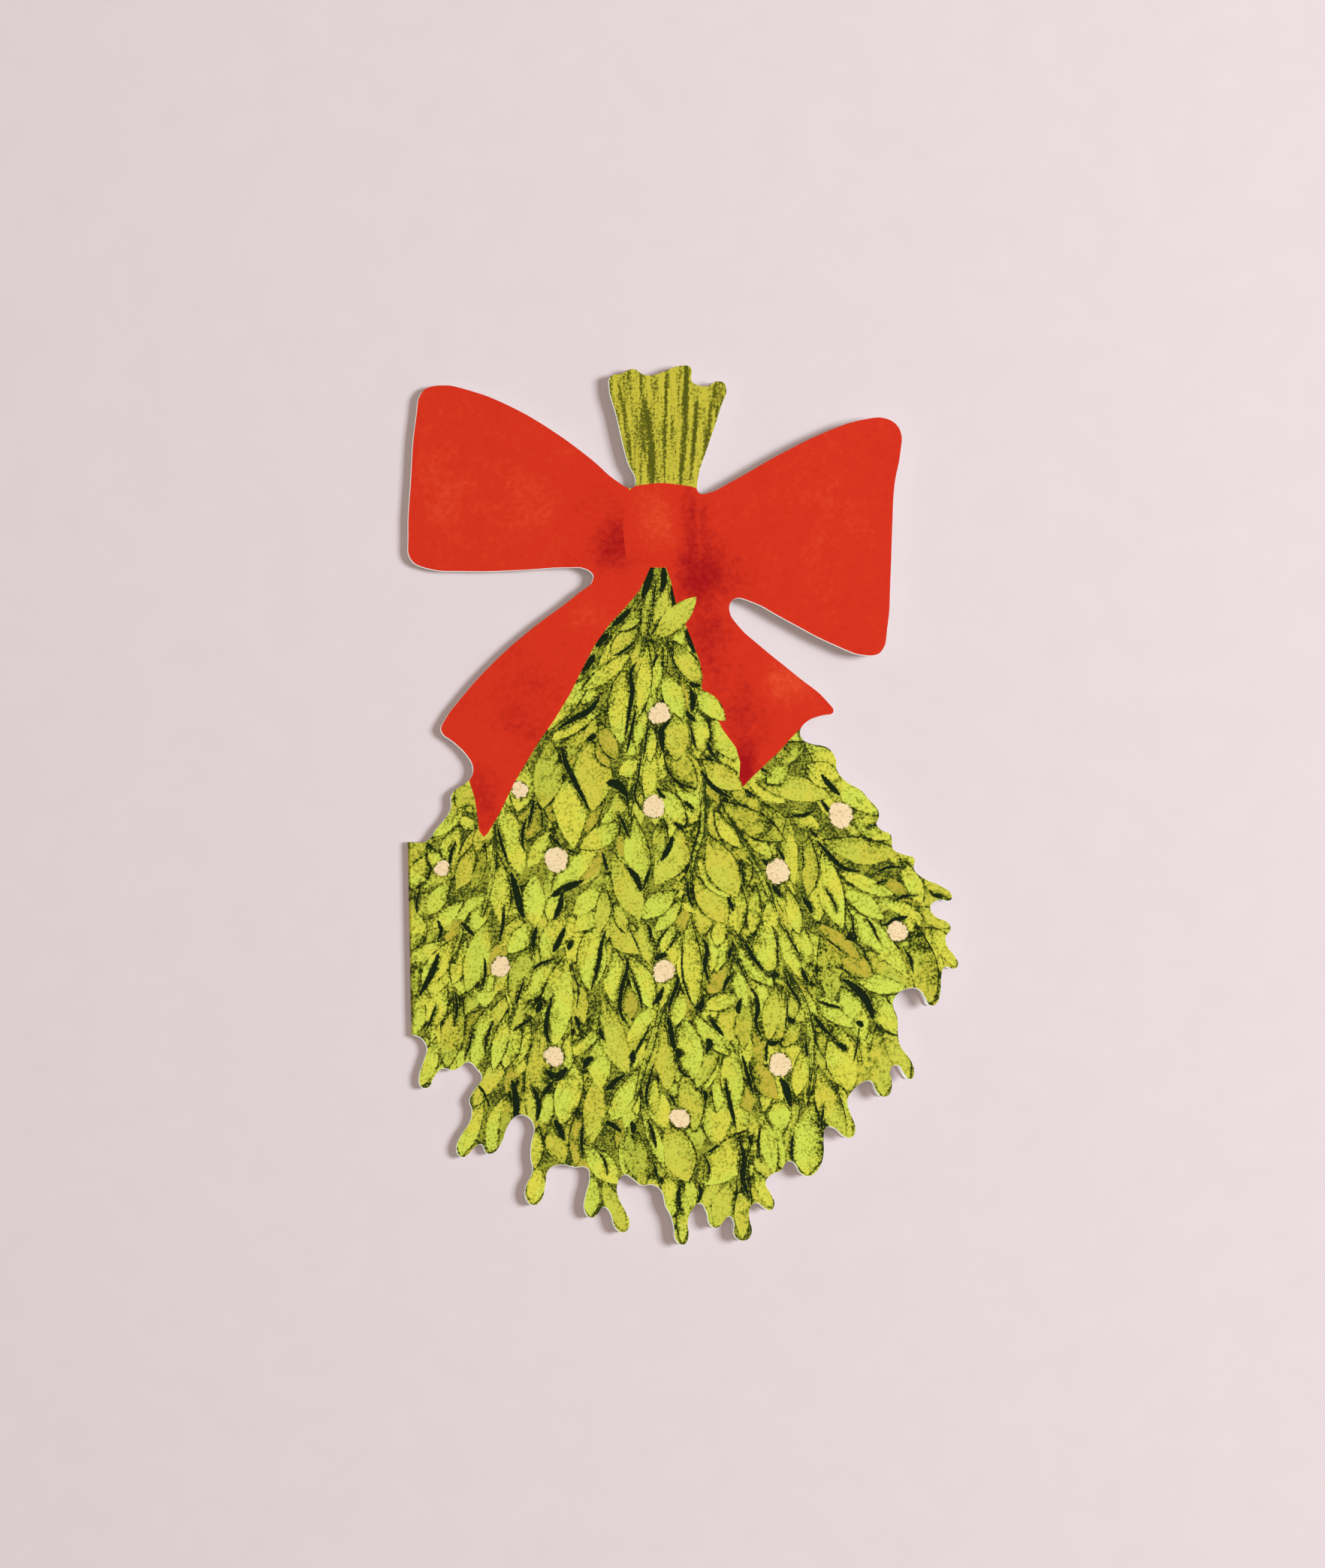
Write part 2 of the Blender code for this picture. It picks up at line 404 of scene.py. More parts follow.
# %% Leaves, region by region
RIGHT_SPRIGS = [
    (82, 92, 93.5, 82.5, 4, "l"), (87.5, 84.5, 96, 77.7, 5, "l"), (82, 78, 97.5, 75, 5.5, "y"),
    (97.5, 74, 101.8, 64.5, 3.5, "l"), (92, 71, 100, 65.5, 3.5, "o"), (99, 72, 107.8, 65.9, 3.6, "y"),
    (84, 73, 96.5, 66.5, 3, "l"), (85, 70, 94.3, 61.8, 4, "l"), (92, 66.5, 102.3, 61.5, 2.8, "l"),
    (95.5, 66.3, 101.5, 64.5, 1.6, "o"), (86, 66, 99, 50, 4, "l"), (101, 64.5, 107.3, 60, 3.4, "y"),
    (100.5, 61, 103.3, 44.8, 5.8, "m"), (103.5, 61, 108.3, 52.1, 3.4, "l"),
    (94.5, 58.5, 99, 51, 2.6, "o"), (83.5, 57.5, 91.8, 50.6, 4.6, "o"), (87, 50.5, 98.5, 48, 3.6, "l"),
    (91, 49, 96.4, 39, 4.5, "l"), (85.3, 49, 88.8, 42, 4.2, "l"), (92.3, 41.5, 93.4, 26.9, 5.4, "y"),
    (93.2, 41.5, 98.7, 30.2, 4.2, "y"), (84.5, 42, 86.8, 27.8, 6.5, "l"),
    (79, 47.5, 88.5, 40.5, 4, "l"), (80, 40, 87.5, 32.5, 4.5, "m"), (80.5, 33.5, 85.8, 18.9, 5, "y"),
    (84, 33, 87, 19, 3.5, "l"), (80.5, 62, 89.5, 54.3, 3.6, "o"), (69, 89.5, 84, 86.5, 5, "y"),
    (76, 93, 71.5, 89.3, 3.6, "l"), (79, 92, 84, 88.3, 3, "l"), (79, 93, 86, 90, 4, "l"),
    (79, 97.5, 73, 93.5, 4, "m"), (75.5, 84, 82, 80, 3.4, "l"), (79.5, 79, 79.3, 66.5, 3.4, "m"),
    (82.5, 77, 86, 60, 5, "l"), (90, 60.5, 96.5, 54, 3.4, "l"), (88, 74, 93, 78.5, 3, "m"),
    (97, 59, 93, 53.5, 3.6, "l"), (89, 62, 92.5, 56.5, 3.6, "l"),
]
LOWER_SPRIGS = [
    (79.5, 26, 78, 11.4, 7.6, "l"), (72.5, 27, 73.3, 20.5, 4.6, "l"), (71, 24, 73.5, 12.3, 3.2, "l"),
    (68.8, 25, 71.5, 11.8, 3.6, "l"), (67, 36, 72.5, 26.5, 4.4, "o"), (77, 31, 75.9, 26.3, 2.6, "o"),
    (77.5, 37, 76, 27, 3.4, "l"), (79.8, 36, 77.8, 25, 1.8, "l"), (65, 32, 67, 24, 4, "o"),
    (66.5, 21, 57.5, 10, 7, "l"), (67.5, 20, 60, 12.5, 4.5, "l"), (66.5, 12.5, 65, -1.2, 3.4, "y"),
    (67.5, 13, 71, 5, 3.2, "l"), (64, 11, 59.7, 1.5, 4.8, "y"), (60, 30, 60, 17.3, 6, "l"),
    (51, 23, 54.5, 10.5, 7, "y"), (43.5, 23, 45.8, 10.2, 5, "m"), (42.5, 22, 41.8, 12.2, 3, "l"),
    (45, 26, 49.8, 13, 2.6, "l"), (50, 12.5, 51, 3.8, 4.2, "l"), (53, 12, 53, -1.8, 3, "l"),
    (54.5, 12.5, 55.5, 5.2, 2.6, "l"), (14.5, 28, 9.3, 16.4, 4.4, "l"),
    (19.5, 29.5, 15, 16.9, 5.2, "l"), (15.5, 33, 12, 26, 2.8, "y"), (21, 32, 17, 17.5, 2.6, "d"),
    (25.5, 43.5, 22.6, 24.4, 4.8, "y"), (29, 30.5, 25, 22.3, 4, "l"), (25, 22.5, 24, 13.5, 3, "l"),
    (25, 15, 23.5, 6.6, 3.8, "l"), (31, 34, 29.8, 21, 3.4, "l"), (27, 23, 30, 14.5, 4.5, "m"),
    (33, 26, 32, 14, 3.2, "o"), (37, 33, 35.5, 18.5, 4.6, "y"), (34, 18.5, 40.5, 10.5, 5, "l"),
    (36, 13, 35, 3.9, 3.6, "l"), (37.3, 12, 41.8, 0.9, 3.6, "y"), (44.5, 32, 39, 23, 4.2, "l"),
]
LEFT_SPRIGS = [
    (5, 77, 0.5, 69.5, 4, "l"), (14, 84, 10, 90, 5, "m"), (13.5, 81, 10.3, 83.5, 2.8, "l"),
    (12, 86, 5, 80, 3.2, "l"), (13, 78.5, 9.5, 69.5, 4, "y"), (8.5, 71.5, 3, 64, 3.6, "l"),
    (11, 67.5, 4.5, 62, 3.2, "l"), (3.5, 64, 0.3, 57.5, 3, "l"), (8.5, 59.5, 2.3, 50.5, 4.4, "l"),
    (11.5, 60, 8.3, 50.5, 3.4, "l"), (15.5, 64, 11.3, 49, 4.8, "l"), (16.5, 67, 10.3, 60.5, 3.4, "l"),
    (15.5, 79, 12.5, 68.5, 2.4, "d"), (17, 78, 18.5, 62, 4.4, "l"), (19, 87, 22.6, 72, 5.5, "l"),
    (23, 57, 20, 45.5, 3.6, "l"), (7.5, 50.5, 3.7, 41.5, 4, "l"), (3, 47, 0.8, 41, 2.8, "l"),
    (10.5, 48, 7, 33.8, 4.6, "m"), (5, 40.5, 1.5, 30.4, 3.6, "l"), (15.5, 46.5, 12, 34, 4.4, "l"),
    (19.5, 46, 16, 33, 3, "l"), (22, 44, 18.5, 33.5, 4, "l"), (19, 38, 14, 28, 3.5, "y"),
    (24.5, 63, 19.5, 56.5, 4.2, "l"), (24.3, 58.5, 20.3, 46.5, 4.6, "m"), (27, 49.5, 20, 42, 4, "m"),
    (4, 78.5, 7.5, 72.5, 3, "l"), (1.2, 55.5, 0.8, 48.5, 2.6, "m"), (6.5, 67, 7.5, 61, 2.6, "m"),
]
UPPER_SPRIGS = [
    (46.4, 127, 40.5, 119, 2.4, "d"), (50, 132, 47.4, 117.5, 2.2, "m"),
    (52.6, 130.5, 50.4, 118.5, 3.6, "y"), (48.5, 124.5, 41.5, 120.2, 3, "m"),
    (46.8, 120.5, 41, 115.2, 3.8, "y"), (46, 117, 35, 108.5, 3.2, "l"),
    (38, 112, 28.3, 100.5, 3.6, "l"), (44.3, 114.5, 42.5, 97.5, 6.6, "l"),
    (39.5, 104.5, 29, 98.5, 3.6, "l"), (38.3, 102, 41.5, 94.5, 3.6, "o"),
    (48.5, 118, 46.5, 103, 3.2, "l"), (47, 107, 46, 95.5, 2.8, "l"), (48.5, 112.5, 48, 103.5, 2.2, "l"),
    (51.5, 116.5, 48.2, 106, 2.8, "l"), (50.5, 111.5, 50.3, 105, 2.6, "m"),
    (52.3, 118, 55.7, 110, 2.8, "l"), (51.5, 112.5, 55, 102.5, 4.2, "l"),
    (54.5, 111, 56.2, 104, 2.2, "o"), (48.8, 102, 48.3, 93.5, 2.2, "l"), (54, 104.5, 53.5, 94, 5, "y"),
    (58, 104.5, 59, 95.5, 3.6, "l"), (60.3, 104, 65, 94, 5.2, "l"), (26.5, 86.5, 23.3, 78.5, 5.2, "o"),
    (29, 99, 27, 85, 6, "m"), (29.5, 95, 33, 77, 6.5, "l"), (37, 99, 37, 84.5, 8, "y"),
    (38, 99, 40.5, 93, 3, "o"), (47, 94, 42.2, 91.5, 3.6, "l"), (47, 99, 43, 95.5, 3, "l"),
    (49, 98, 47.5, 86, 3.2, "l"), (51, 98, 57.5, 88.5, 5, "m"), (50.5, 89.5, 55.3, 81.2, 3.8, "l"),
    (43, 82.5, 34, 77, 4.4, "l"), (62.5, 99, 66, 90.5, 4.6, "l"), (57, 98, 60, 94, 3, "l"),
    (53, 97, 57.5, 87, 5.5, "y"), (24, 94, 22, 84.5, 5, "l"), (27.5, 90, 29, 82, 3.4, "o"),
]
MIDDLE_SPRIGS = [
    (39.5, 79.5, 28.3, 68.2, 5, "l"), (39.8, 78.5, 34.2, 70.3, 3.6, "o"), (41.5, 81, 43.8, 74, 3, "o"),
    (45, 84, 47, 69, 5.2, "l"), (51, 83, 49.5, 74, 3.4, "m"), (58, 82, 49, 69.5, 6.5, "y"),
    (40.3, 76, 45.7, 62.5, 5.6, "y"), (53.5, 68.5, 46, 63, 4.4, "l"), (54.5, 67, 48.5, 60, 3, "l"),
    (25, 72.5, 25, 61.8, 5, "l"), (29.5, 81.5, 23.8, 73.5, 3.6, "l"), (29, 74, 27.5, 67, 3, "m"),
    (38.5, 70, 32.5, 64, 4, "l"), (38, 67, 33, 60.5, 4, "l"), (39, 70, 37.5, 60, 3.2, "y"),
    (40.5, 66, 43, 60, 2.6, "y"), (31, 65, 26.3, 54.8, 4.6, "l"), (62, 86.3, 75, 78, 5, "m"),
    (61.5, 85, 70.5, 80, 4, "l"), (60.8, 84.5, 66, 76.5, 3.2, "l"), (65, 81, 72.3, 74.2, 3, "l"),
    (68.5, 80.5, 73.2, 75, 3, "l"), (59.5, 79.5, 65.3, 66.8, 6.4, "y"),
    (57, 75.5, 63.8, 66.8, 4.4, "l"), (56.2, 71.5, 63, 61.5, 6, "y"), (75.5, 83, 76.5, 69, 3.4, "l"),
    (66, 70, 65, 59, 4, "l"), (69, 69, 68, 59, 3, "l"), (75, 69, 77.5, 59, 3, "l"),
    (71.5, 67, 71, 59.5, 3, "l"), (33, 75, 30.5, 69.5, 3, "m"), (55.5, 78, 53.5, 70, 3.2, "m"),
    (62.5, 63.5, 61, 57, 3, "l"),
]
CORE_SPRIGS = [
    (30, 55, 21.5, 46.5, 4.6, "l"), (31, 56.5, 28.5, 38, 6.5, "l"), (32.2, 55, 34, 52, 1.8, "o"),
    (36.3, 63, 35.6, 48.5, 6, "l"), (34.5, 51.5, 33, 40, 3.2, "y"), (38.5, 45, 32.3, 35.8, 4.6, "l"),
    (41, 57, 40.4, 46.3, 5.2, "l"), (39.8, 60, 37.5, 50, 2, "y"), (40, 64, 45.7, 56, 5.8, "y"),
    (46, 64, 48, 53.5, 3.4, "y"), (43.8, 56, 48, 45, 4.8, "l"), (43.5, 51, 43.5, 43, 3.4, "o"),
    (38.5, 48, 43, 32, 5.2, "y"), (49.5, 46.5, 42.8, 38.2, 3.8, "l"), (49.5, 62.5, 48.7, 57, 2.4, "l"),
    (52.8, 62.5, 50, 56, 2.8, "l"), (53.5, 61, 52, 53, 3.6, "l"), (56, 63, 56.5, 45.2, 5.2, "l"),
    (54.2, 49.5, 52, 41.2, 3.2, "l"), (49.5, 43, 50.8, 28.5, 4.6, "y"), (54, 44, 55.7, 30.8, 6, "l"),
    (53.5, 33, 56, 20.5, 5, "y"), (32, 41, 31, 33, 3, "l"), (34, 36, 29.5, 22, 5.5, "l"),
    (37.8, 40, 37.5, 29.3, 4.8, "l"), (35, 32, 34.5, 23, 4.2, "y"), (39.8, 36, 42.3, 33, 1.6, "l"),
    (45.5, 34, 38.5, 24, 3.6, "l"), (44, 31, 44.5, 24, 2.4, "l"), (48, 32.5, 47.8, 24, 2.6, "l"),
    (48.3, 43, 47.3, 33, 1.8, "m"), (47, 42, 43.8, 33, 1.8, "l"), (24, 43, 20.5, 34, 4, "l"),
    (60.3, 62, 59.8, 52, 3.2, "l"), (62.5, 61.5, 60.8, 52, 3.6, "l"), (62.5, 54, 59, 47.8, 4.4, "o"),
    (64.3, 56, 66.5, 45, 3.2, "l"), (66.8, 48, 66, 36.5, 3.4, "m"), (63.8, 60, 72, 49, 4.6, "l"),
    (70.5, 63, 71.8, 51.5, 5.4, "l"), (73, 62.5, 78, 50, 3, "l"), (76.5, 62.5, 79, 53, 3.8, "l"),
    (81.5, 60, 83.5, 45.7, 5, "m"), (76, 48.5, 76, 42.5, 2.8, "y"), (72.5, 49.5, 70.8, 38.2, 3.8, "y"),
    (73.8, 49, 73.3, 38.3, 3, "y"), (68.2, 40.5, 69.5, 33.5, 2.6, "o"), (77.5, 42, 73.5, 37, 3, "m"),
    (66, 47.8, 57.6, 45.3, 3.4, "l"), (62.5, 46.5, 63.3, 38.3, 5.2, "y"),
    (55.5, 44.8, 63, 35.5, 3, "l"), (61.5, 37.5, 56.3, 29, 3.6, "m"), (62, 37, 57.5, 28.3, 2, "l"),
    (61.3, 36.5, 60.2, 24, 3.4, "l"), (63.3, 38.5, 64, 24.5, 4.6, "l"), (78.3, 49, 80.8, 41, 2.6, "l"),
    (66.5, 41, 66, 33, 3, "l"), (70.5, 34, 69.5, 24, 3, "l"), (52.5, 47, 51.3, 39.5, 1.8, "l"),
    (68, 47, 69, 39, 2, "m"),
]
# These tips lie over the ribbon's tails, so they are drawn after it.
SPRIGS_OVER_RIBBON = [
    (49, 117.5, 58.3, 126.5, 4.4, "y"), (53.6, 117.8, 58.9, 109.5, 4.2, "y"),
    (57.3, 108.8, 63.6, 101.8, 3.8, "l"), (58.5, 94.5, 66.8, 88.2, 4.6, "y"),
]
listed = RIGHT_SPRIGS + LOWER_SPRIGS + LEFT_SPRIGS + UPPER_SPRIGS + MIDDLE_SPRIGS + CORE_SPRIGS
print(len(listed) + len(SPRIGS_OVER_RIBBON), "leaves set out by hand")

# %% [markdown]
# ## The dark places between leaves
# The deepest places of the drawing are inked nearly black. Holes left between the leaves would do
# it, but each hole would then depend on four neighbours at once. Brush strokes laid over the leaves
# are easier to place, and they taper as ink does.

# %% Ink strokes: the widest part in mm, then the points they run through
GAPS_RIGHT = [
    (1.9, (85.5, 50.5), (88.5, 48.2), (90.6, 45.5), (91.8, 41.8)),
    (1.3, (94, 60.6), (96.5, 61.8), (99, 62.4)), (0.9, (98, 56), (99.2, 54), (99.8, 51)),
    (1.0, (103.4, 66.8), (104.8, 66.4), (106, 66)), (0.9, (92.5, 71.2), (95.2, 72.2), (98.5, 72.2)),
    (0.8, (92.6, 69), (94.8, 69.6)), (0.9, (95.8, 65.3), (98.2, 66.4), (100.6, 66.6)),
    (1.9, (86.6, 58.2), (87.8, 58.6), (88.4, 57.4)), (0.8, (87.9, 62.5), (88, 60.4), (88.1, 58.6)),
    (0.7, (88.2, 57.6), (89.2, 56.8), (90.4, 56)), (0.6, (84.5, 53.6), (86, 52.1), (88.6, 50.5)),
    (0.9, (81, 46), (83, 45.1), (85.4, 44.6)), (1.3, (88.2, 41.8), (89, 41.4), (89.7, 40.8)),
    (0.6, (88.9, 41), (88.3, 37), (87.6, 33.6)), (1.2, (80, 43.2), (81.4, 41), (83.6, 38.7)),
    (1.3, (84.3, 37.8), (85.4, 36.9), (86.4, 36.2)),
    (0.5, (80.8, 32.8), (83, 30), (84.6, 27.3), (85.1, 24.5)),
    (1.2, (77.8, 52.5), (78.2, 51), (79.1, 49.6)), (0.9, (78.4, 38.4), (78.2, 36.6), (78.6, 34.8)),
    (0.6, (74.2, 61.6), (76, 57.5), (78.1, 53.9)), (0.5, (81.4, 59.6), (84, 57.2), (87.6, 54.6)),
    (0.4, (80, 57.5), (80, 52), (81, 48.3), (82.2, 46.4)), (1.0, (76, 83), (78.5, 82.8), (81, 83.8)),
    (0.9, (79.5, 80.2), (81.5, 78.3)), (1.2, (81, 78), (83.5, 75), (86.2, 72.3), (90, 71.4)),
    (1.0, (82, 86), (83.2, 84.2), (84, 83)), (1.4, (78, 66.5), (79.2, 65.2), (80, 63.3)),
    (1.3, (82.2, 91), (84, 88.6), (86, 86.6)), (0.5, (78.2, 78.2), (78.4, 74), (78, 71)),
    (0.7, (91, 80), (93, 80.6), (94.5, 79.3)), (0.8, (90.5, 62.5), (92, 60.2), (93, 57.6)),
    (0.7, (82.5, 68.4), (84, 66), (85, 63.6)),
]
GAPS_LOWER = [
    (1.0, (56.4, 10.8), (56.8, 8.4), (56.2, 6.2)), (0.7, (57.4, 16.5), (58.6, 13.6), (58.2, 11)),
    (0.9, (58, 16.4), (59.4, 17), (60.6, 18)), (1.8, (72.9, 31), (74, 29.2), (74.6, 27), (75.1, 25)),
    (1.1, (62.2, 31), (62.5, 28), (63.3, 24.4), (64, 21)),
    (1.1, (65.5, 35.8), (66.2, 33), (67, 30), (67.7, 27.4)),
    (0.8, (47.6, 14.8), (48, 12.8), (48.6, 11)), (1.4, (43.2, 22.8), (43.8, 21.6), (43.6, 20.2)),
    (1.5, (64.6, 19), (65.6, 15), (65.2, 11.5), (66.4, 7)), (1.6, (28, 23.6), (29, 21.8), (30, 19.2)),
    (1.3, (38, 22.8), (39.6, 22.2), (41.5, 20.6)), (1.6, (19.8, 32), (20.6, 27), (20.2, 20.5)),
    (1.2, (57.6, 28.8), (58.2, 27.8), (58, 26.4)), (0.8, (70.3, 34), (70.3, 36), (70.5, 38)),
    (0.7, (12.6, 31), (14.2, 29), (15.8, 25)), (1.3, (23.8, 30.5), (25, 27), (24.6, 23)),
    (1.0, (33.8, 23), (33.4, 19), (33.6, 15.5)), (0.8, (69, 21.5), (68.4, 18), (68.8, 14.5)),
    (1.1, (53, 10.4), (52.4, 8), (52.8, 4.6)), (0.8, (75.4, 20), (75, 17), (75.2, 13.6)),
    (1.0, (46.6, 23.4), (47.6, 20.2), (48.2, 17.2)), (0.7, (36.2, 17.8), (38, 14.8), (38.4, 12)),
    (0.8, (50.8, 28.4), (51.6, 27), (52.5, 25.2)), (0.8, (81.6, 26), (81, 22), (81.5, 20)),
]
GAPS_LEFT = [
    (1.8, (20.4, 73), (21.6, 68), (22.8, 63)), (1.5, (5.8, 57), (4.4, 53), (1.6, 48.2)),
    (1.1, (10.2, 63), (11.6, 61.6), (13, 60)), (0.9, (19, 66.5), (18.6, 62), (17.6, 58.5)),
    (1.2, (25.4, 62), (24.7, 59.5), (24.5, 57)), (0.9, (29, 55.4), (26, 54.4), (24.2, 53)),
    (1.5, (31, 61.6), (29.6, 58.6), (28.4, 56.6)), (1.3, (32.2, 59), (31.8, 57.8), (31.6, 57)),
    (0.8, (22.8, 51.6), (21.6, 48.4), (20.8, 46)), (1.5, (26.2, 47), (25.4, 45.6), (24.8, 44.6)),
    (1.2, (28.3, 48.2), (27.2, 44.5), (26.8, 41), (27.7, 38)),
    (0.9, (24.4, 44), (22.4, 42.6), (20, 41)), (1.9, (26.6, 33.4), (28.6, 31.8), (31, 33.8)),
    (1.2, (28.4, 31.6), (26.8, 29.4), (25.2, 27.6)), (1.0, (9.6, 79), (8.6, 76.4), (8.2, 73.6)),
    (0.8, (2.4, 70), (1.6, 67), (1.6, 64.6)), (0.8, (14.8, 56), (14.9, 52.4), (13.6, 49.4)),
    (0.9, (8.8, 49.8), (9.2, 46), (8.6, 42.6)), (0.7, (12.2, 42), (11.6, 38.6), (10.4, 35.4)),
    (0.8, (16.6, 43.6), (15, 40), (14.6, 36.4)), (1.0, (5.6, 63.5), (6.4, 61.2), (5.4, 59)),
    (0.8, (5.2, 47), (4, 43.6), (2.6, 41)), (0.9, (17.8, 82.4), (18.6, 78.6), (20, 74)),
    (0.9, (23.8, 83.6), (22.8, 80), (23.2, 76.6)),
]
GAPS_UPPER = [
    (1.5, (38.9, 107.4), (36.8, 104.6), (33.8, 103), (29.8, 100.6)),
    (1.5, (37.8, 99.8), (37, 99), (36, 98.4)),
    (1.2, (46.2, 113.8), (44.9, 111.6), (45.2, 108), (44.6, 104.4), (43.4, 98)),
    (0.5, (49.7, 130), (49.2, 123), (48.4, 119.6), (46.4, 114)),
    (0.9, (45.8, 104.6), (44.9, 100.4), (43.8, 95.8)), (0.7, (48.4, 103), (47.8, 99), (47, 94.2)),
    (0.8, (50.4, 115.6), (49.7, 114), (49.3, 112.6)), (0.7, (51.1, 114.6), (51.4, 113), (51.7, 111.6)),
    (1.6, (52.9, 102.6), (51, 100.6), (50.8, 98.4), (51.2, 95.4)),
    (0.7, (53, 116.4), (53.6, 113.4), (55.6, 110.4)), (1.3, (55.6, 104), (56.6, 102.8), (57.6, 101.8)),
    (0.8, (56.6, 101), (57, 98.6), (57.6, 96.4)), (1.1, (59.9, 97.8), (60.4, 96), (61.6, 94.2)),
    (0.7, (48.8, 118.3), (50.4, 121), (53, 123.4)),
    (0.8, (46.8, 119.2), (45, 117), (43, 115.7), (41.4, 115.1)),
    (1.5, (45.4, 124.6), (43.4, 122.6), (41.2, 120.8)),
    (1.6, (41, 119.8), (39.4, 118.4), (38.2, 116.8)), (1.8, (38, 115.4), (36.8, 114), (35.4, 112)),
    (1.7, (49.8, 133), (48.7, 129.6), (47.4, 126)), (1.5, (51.7, 133), (51.9, 130), (51.2, 127.4)),
    (0.6, (50.5, 131), (49.9, 127), (49.2, 123)), (1.0, (53.2, 129), (53.6, 126.4), (53.7, 124)),
    (1.4, (56.2, 120.4), (56.6, 118.4), (57.8, 115)), (1.3, (56.4, 109.6), (57.6, 109), (58.8, 109)),
    (0.8, (40.2, 90.6), (42.4, 88.6), (43.6, 85.6)), (2.1, (39.6, 90), (42, 89.6), (44, 87)),
    (0.7, (47.2, 98), (46, 91), (45.3, 87), (48, 82.5)), (1.0, (49.6, 89), (50.4, 87.6), (51.5, 86.6)),
    (1.0, (55, 86), (56, 85.2), (57, 84.2)), (1.0, (52.8, 82), (54, 81), (55, 80)),
    (1.4, (30.8, 98), (31.8, 94), (33.4, 90.4), (36.4, 84.2)),
    (1.2, (58.4, 92.2), (61, 88.6), (64.6, 86.4)), (1.1, (59, 95), (60.6, 94), (62.5, 93)),
    (1.4, (56.6, 108.6), (57.2, 106), (56.8, 103.6)), (0.9, (67, 88.2), (68, 87.4), (69.2, 86.6)),
    (0.8, (70, 92.4), (71, 91.8), (72, 91)), (0.9, (25.4, 88), (24.8, 84.6), (23.8, 81)),
]
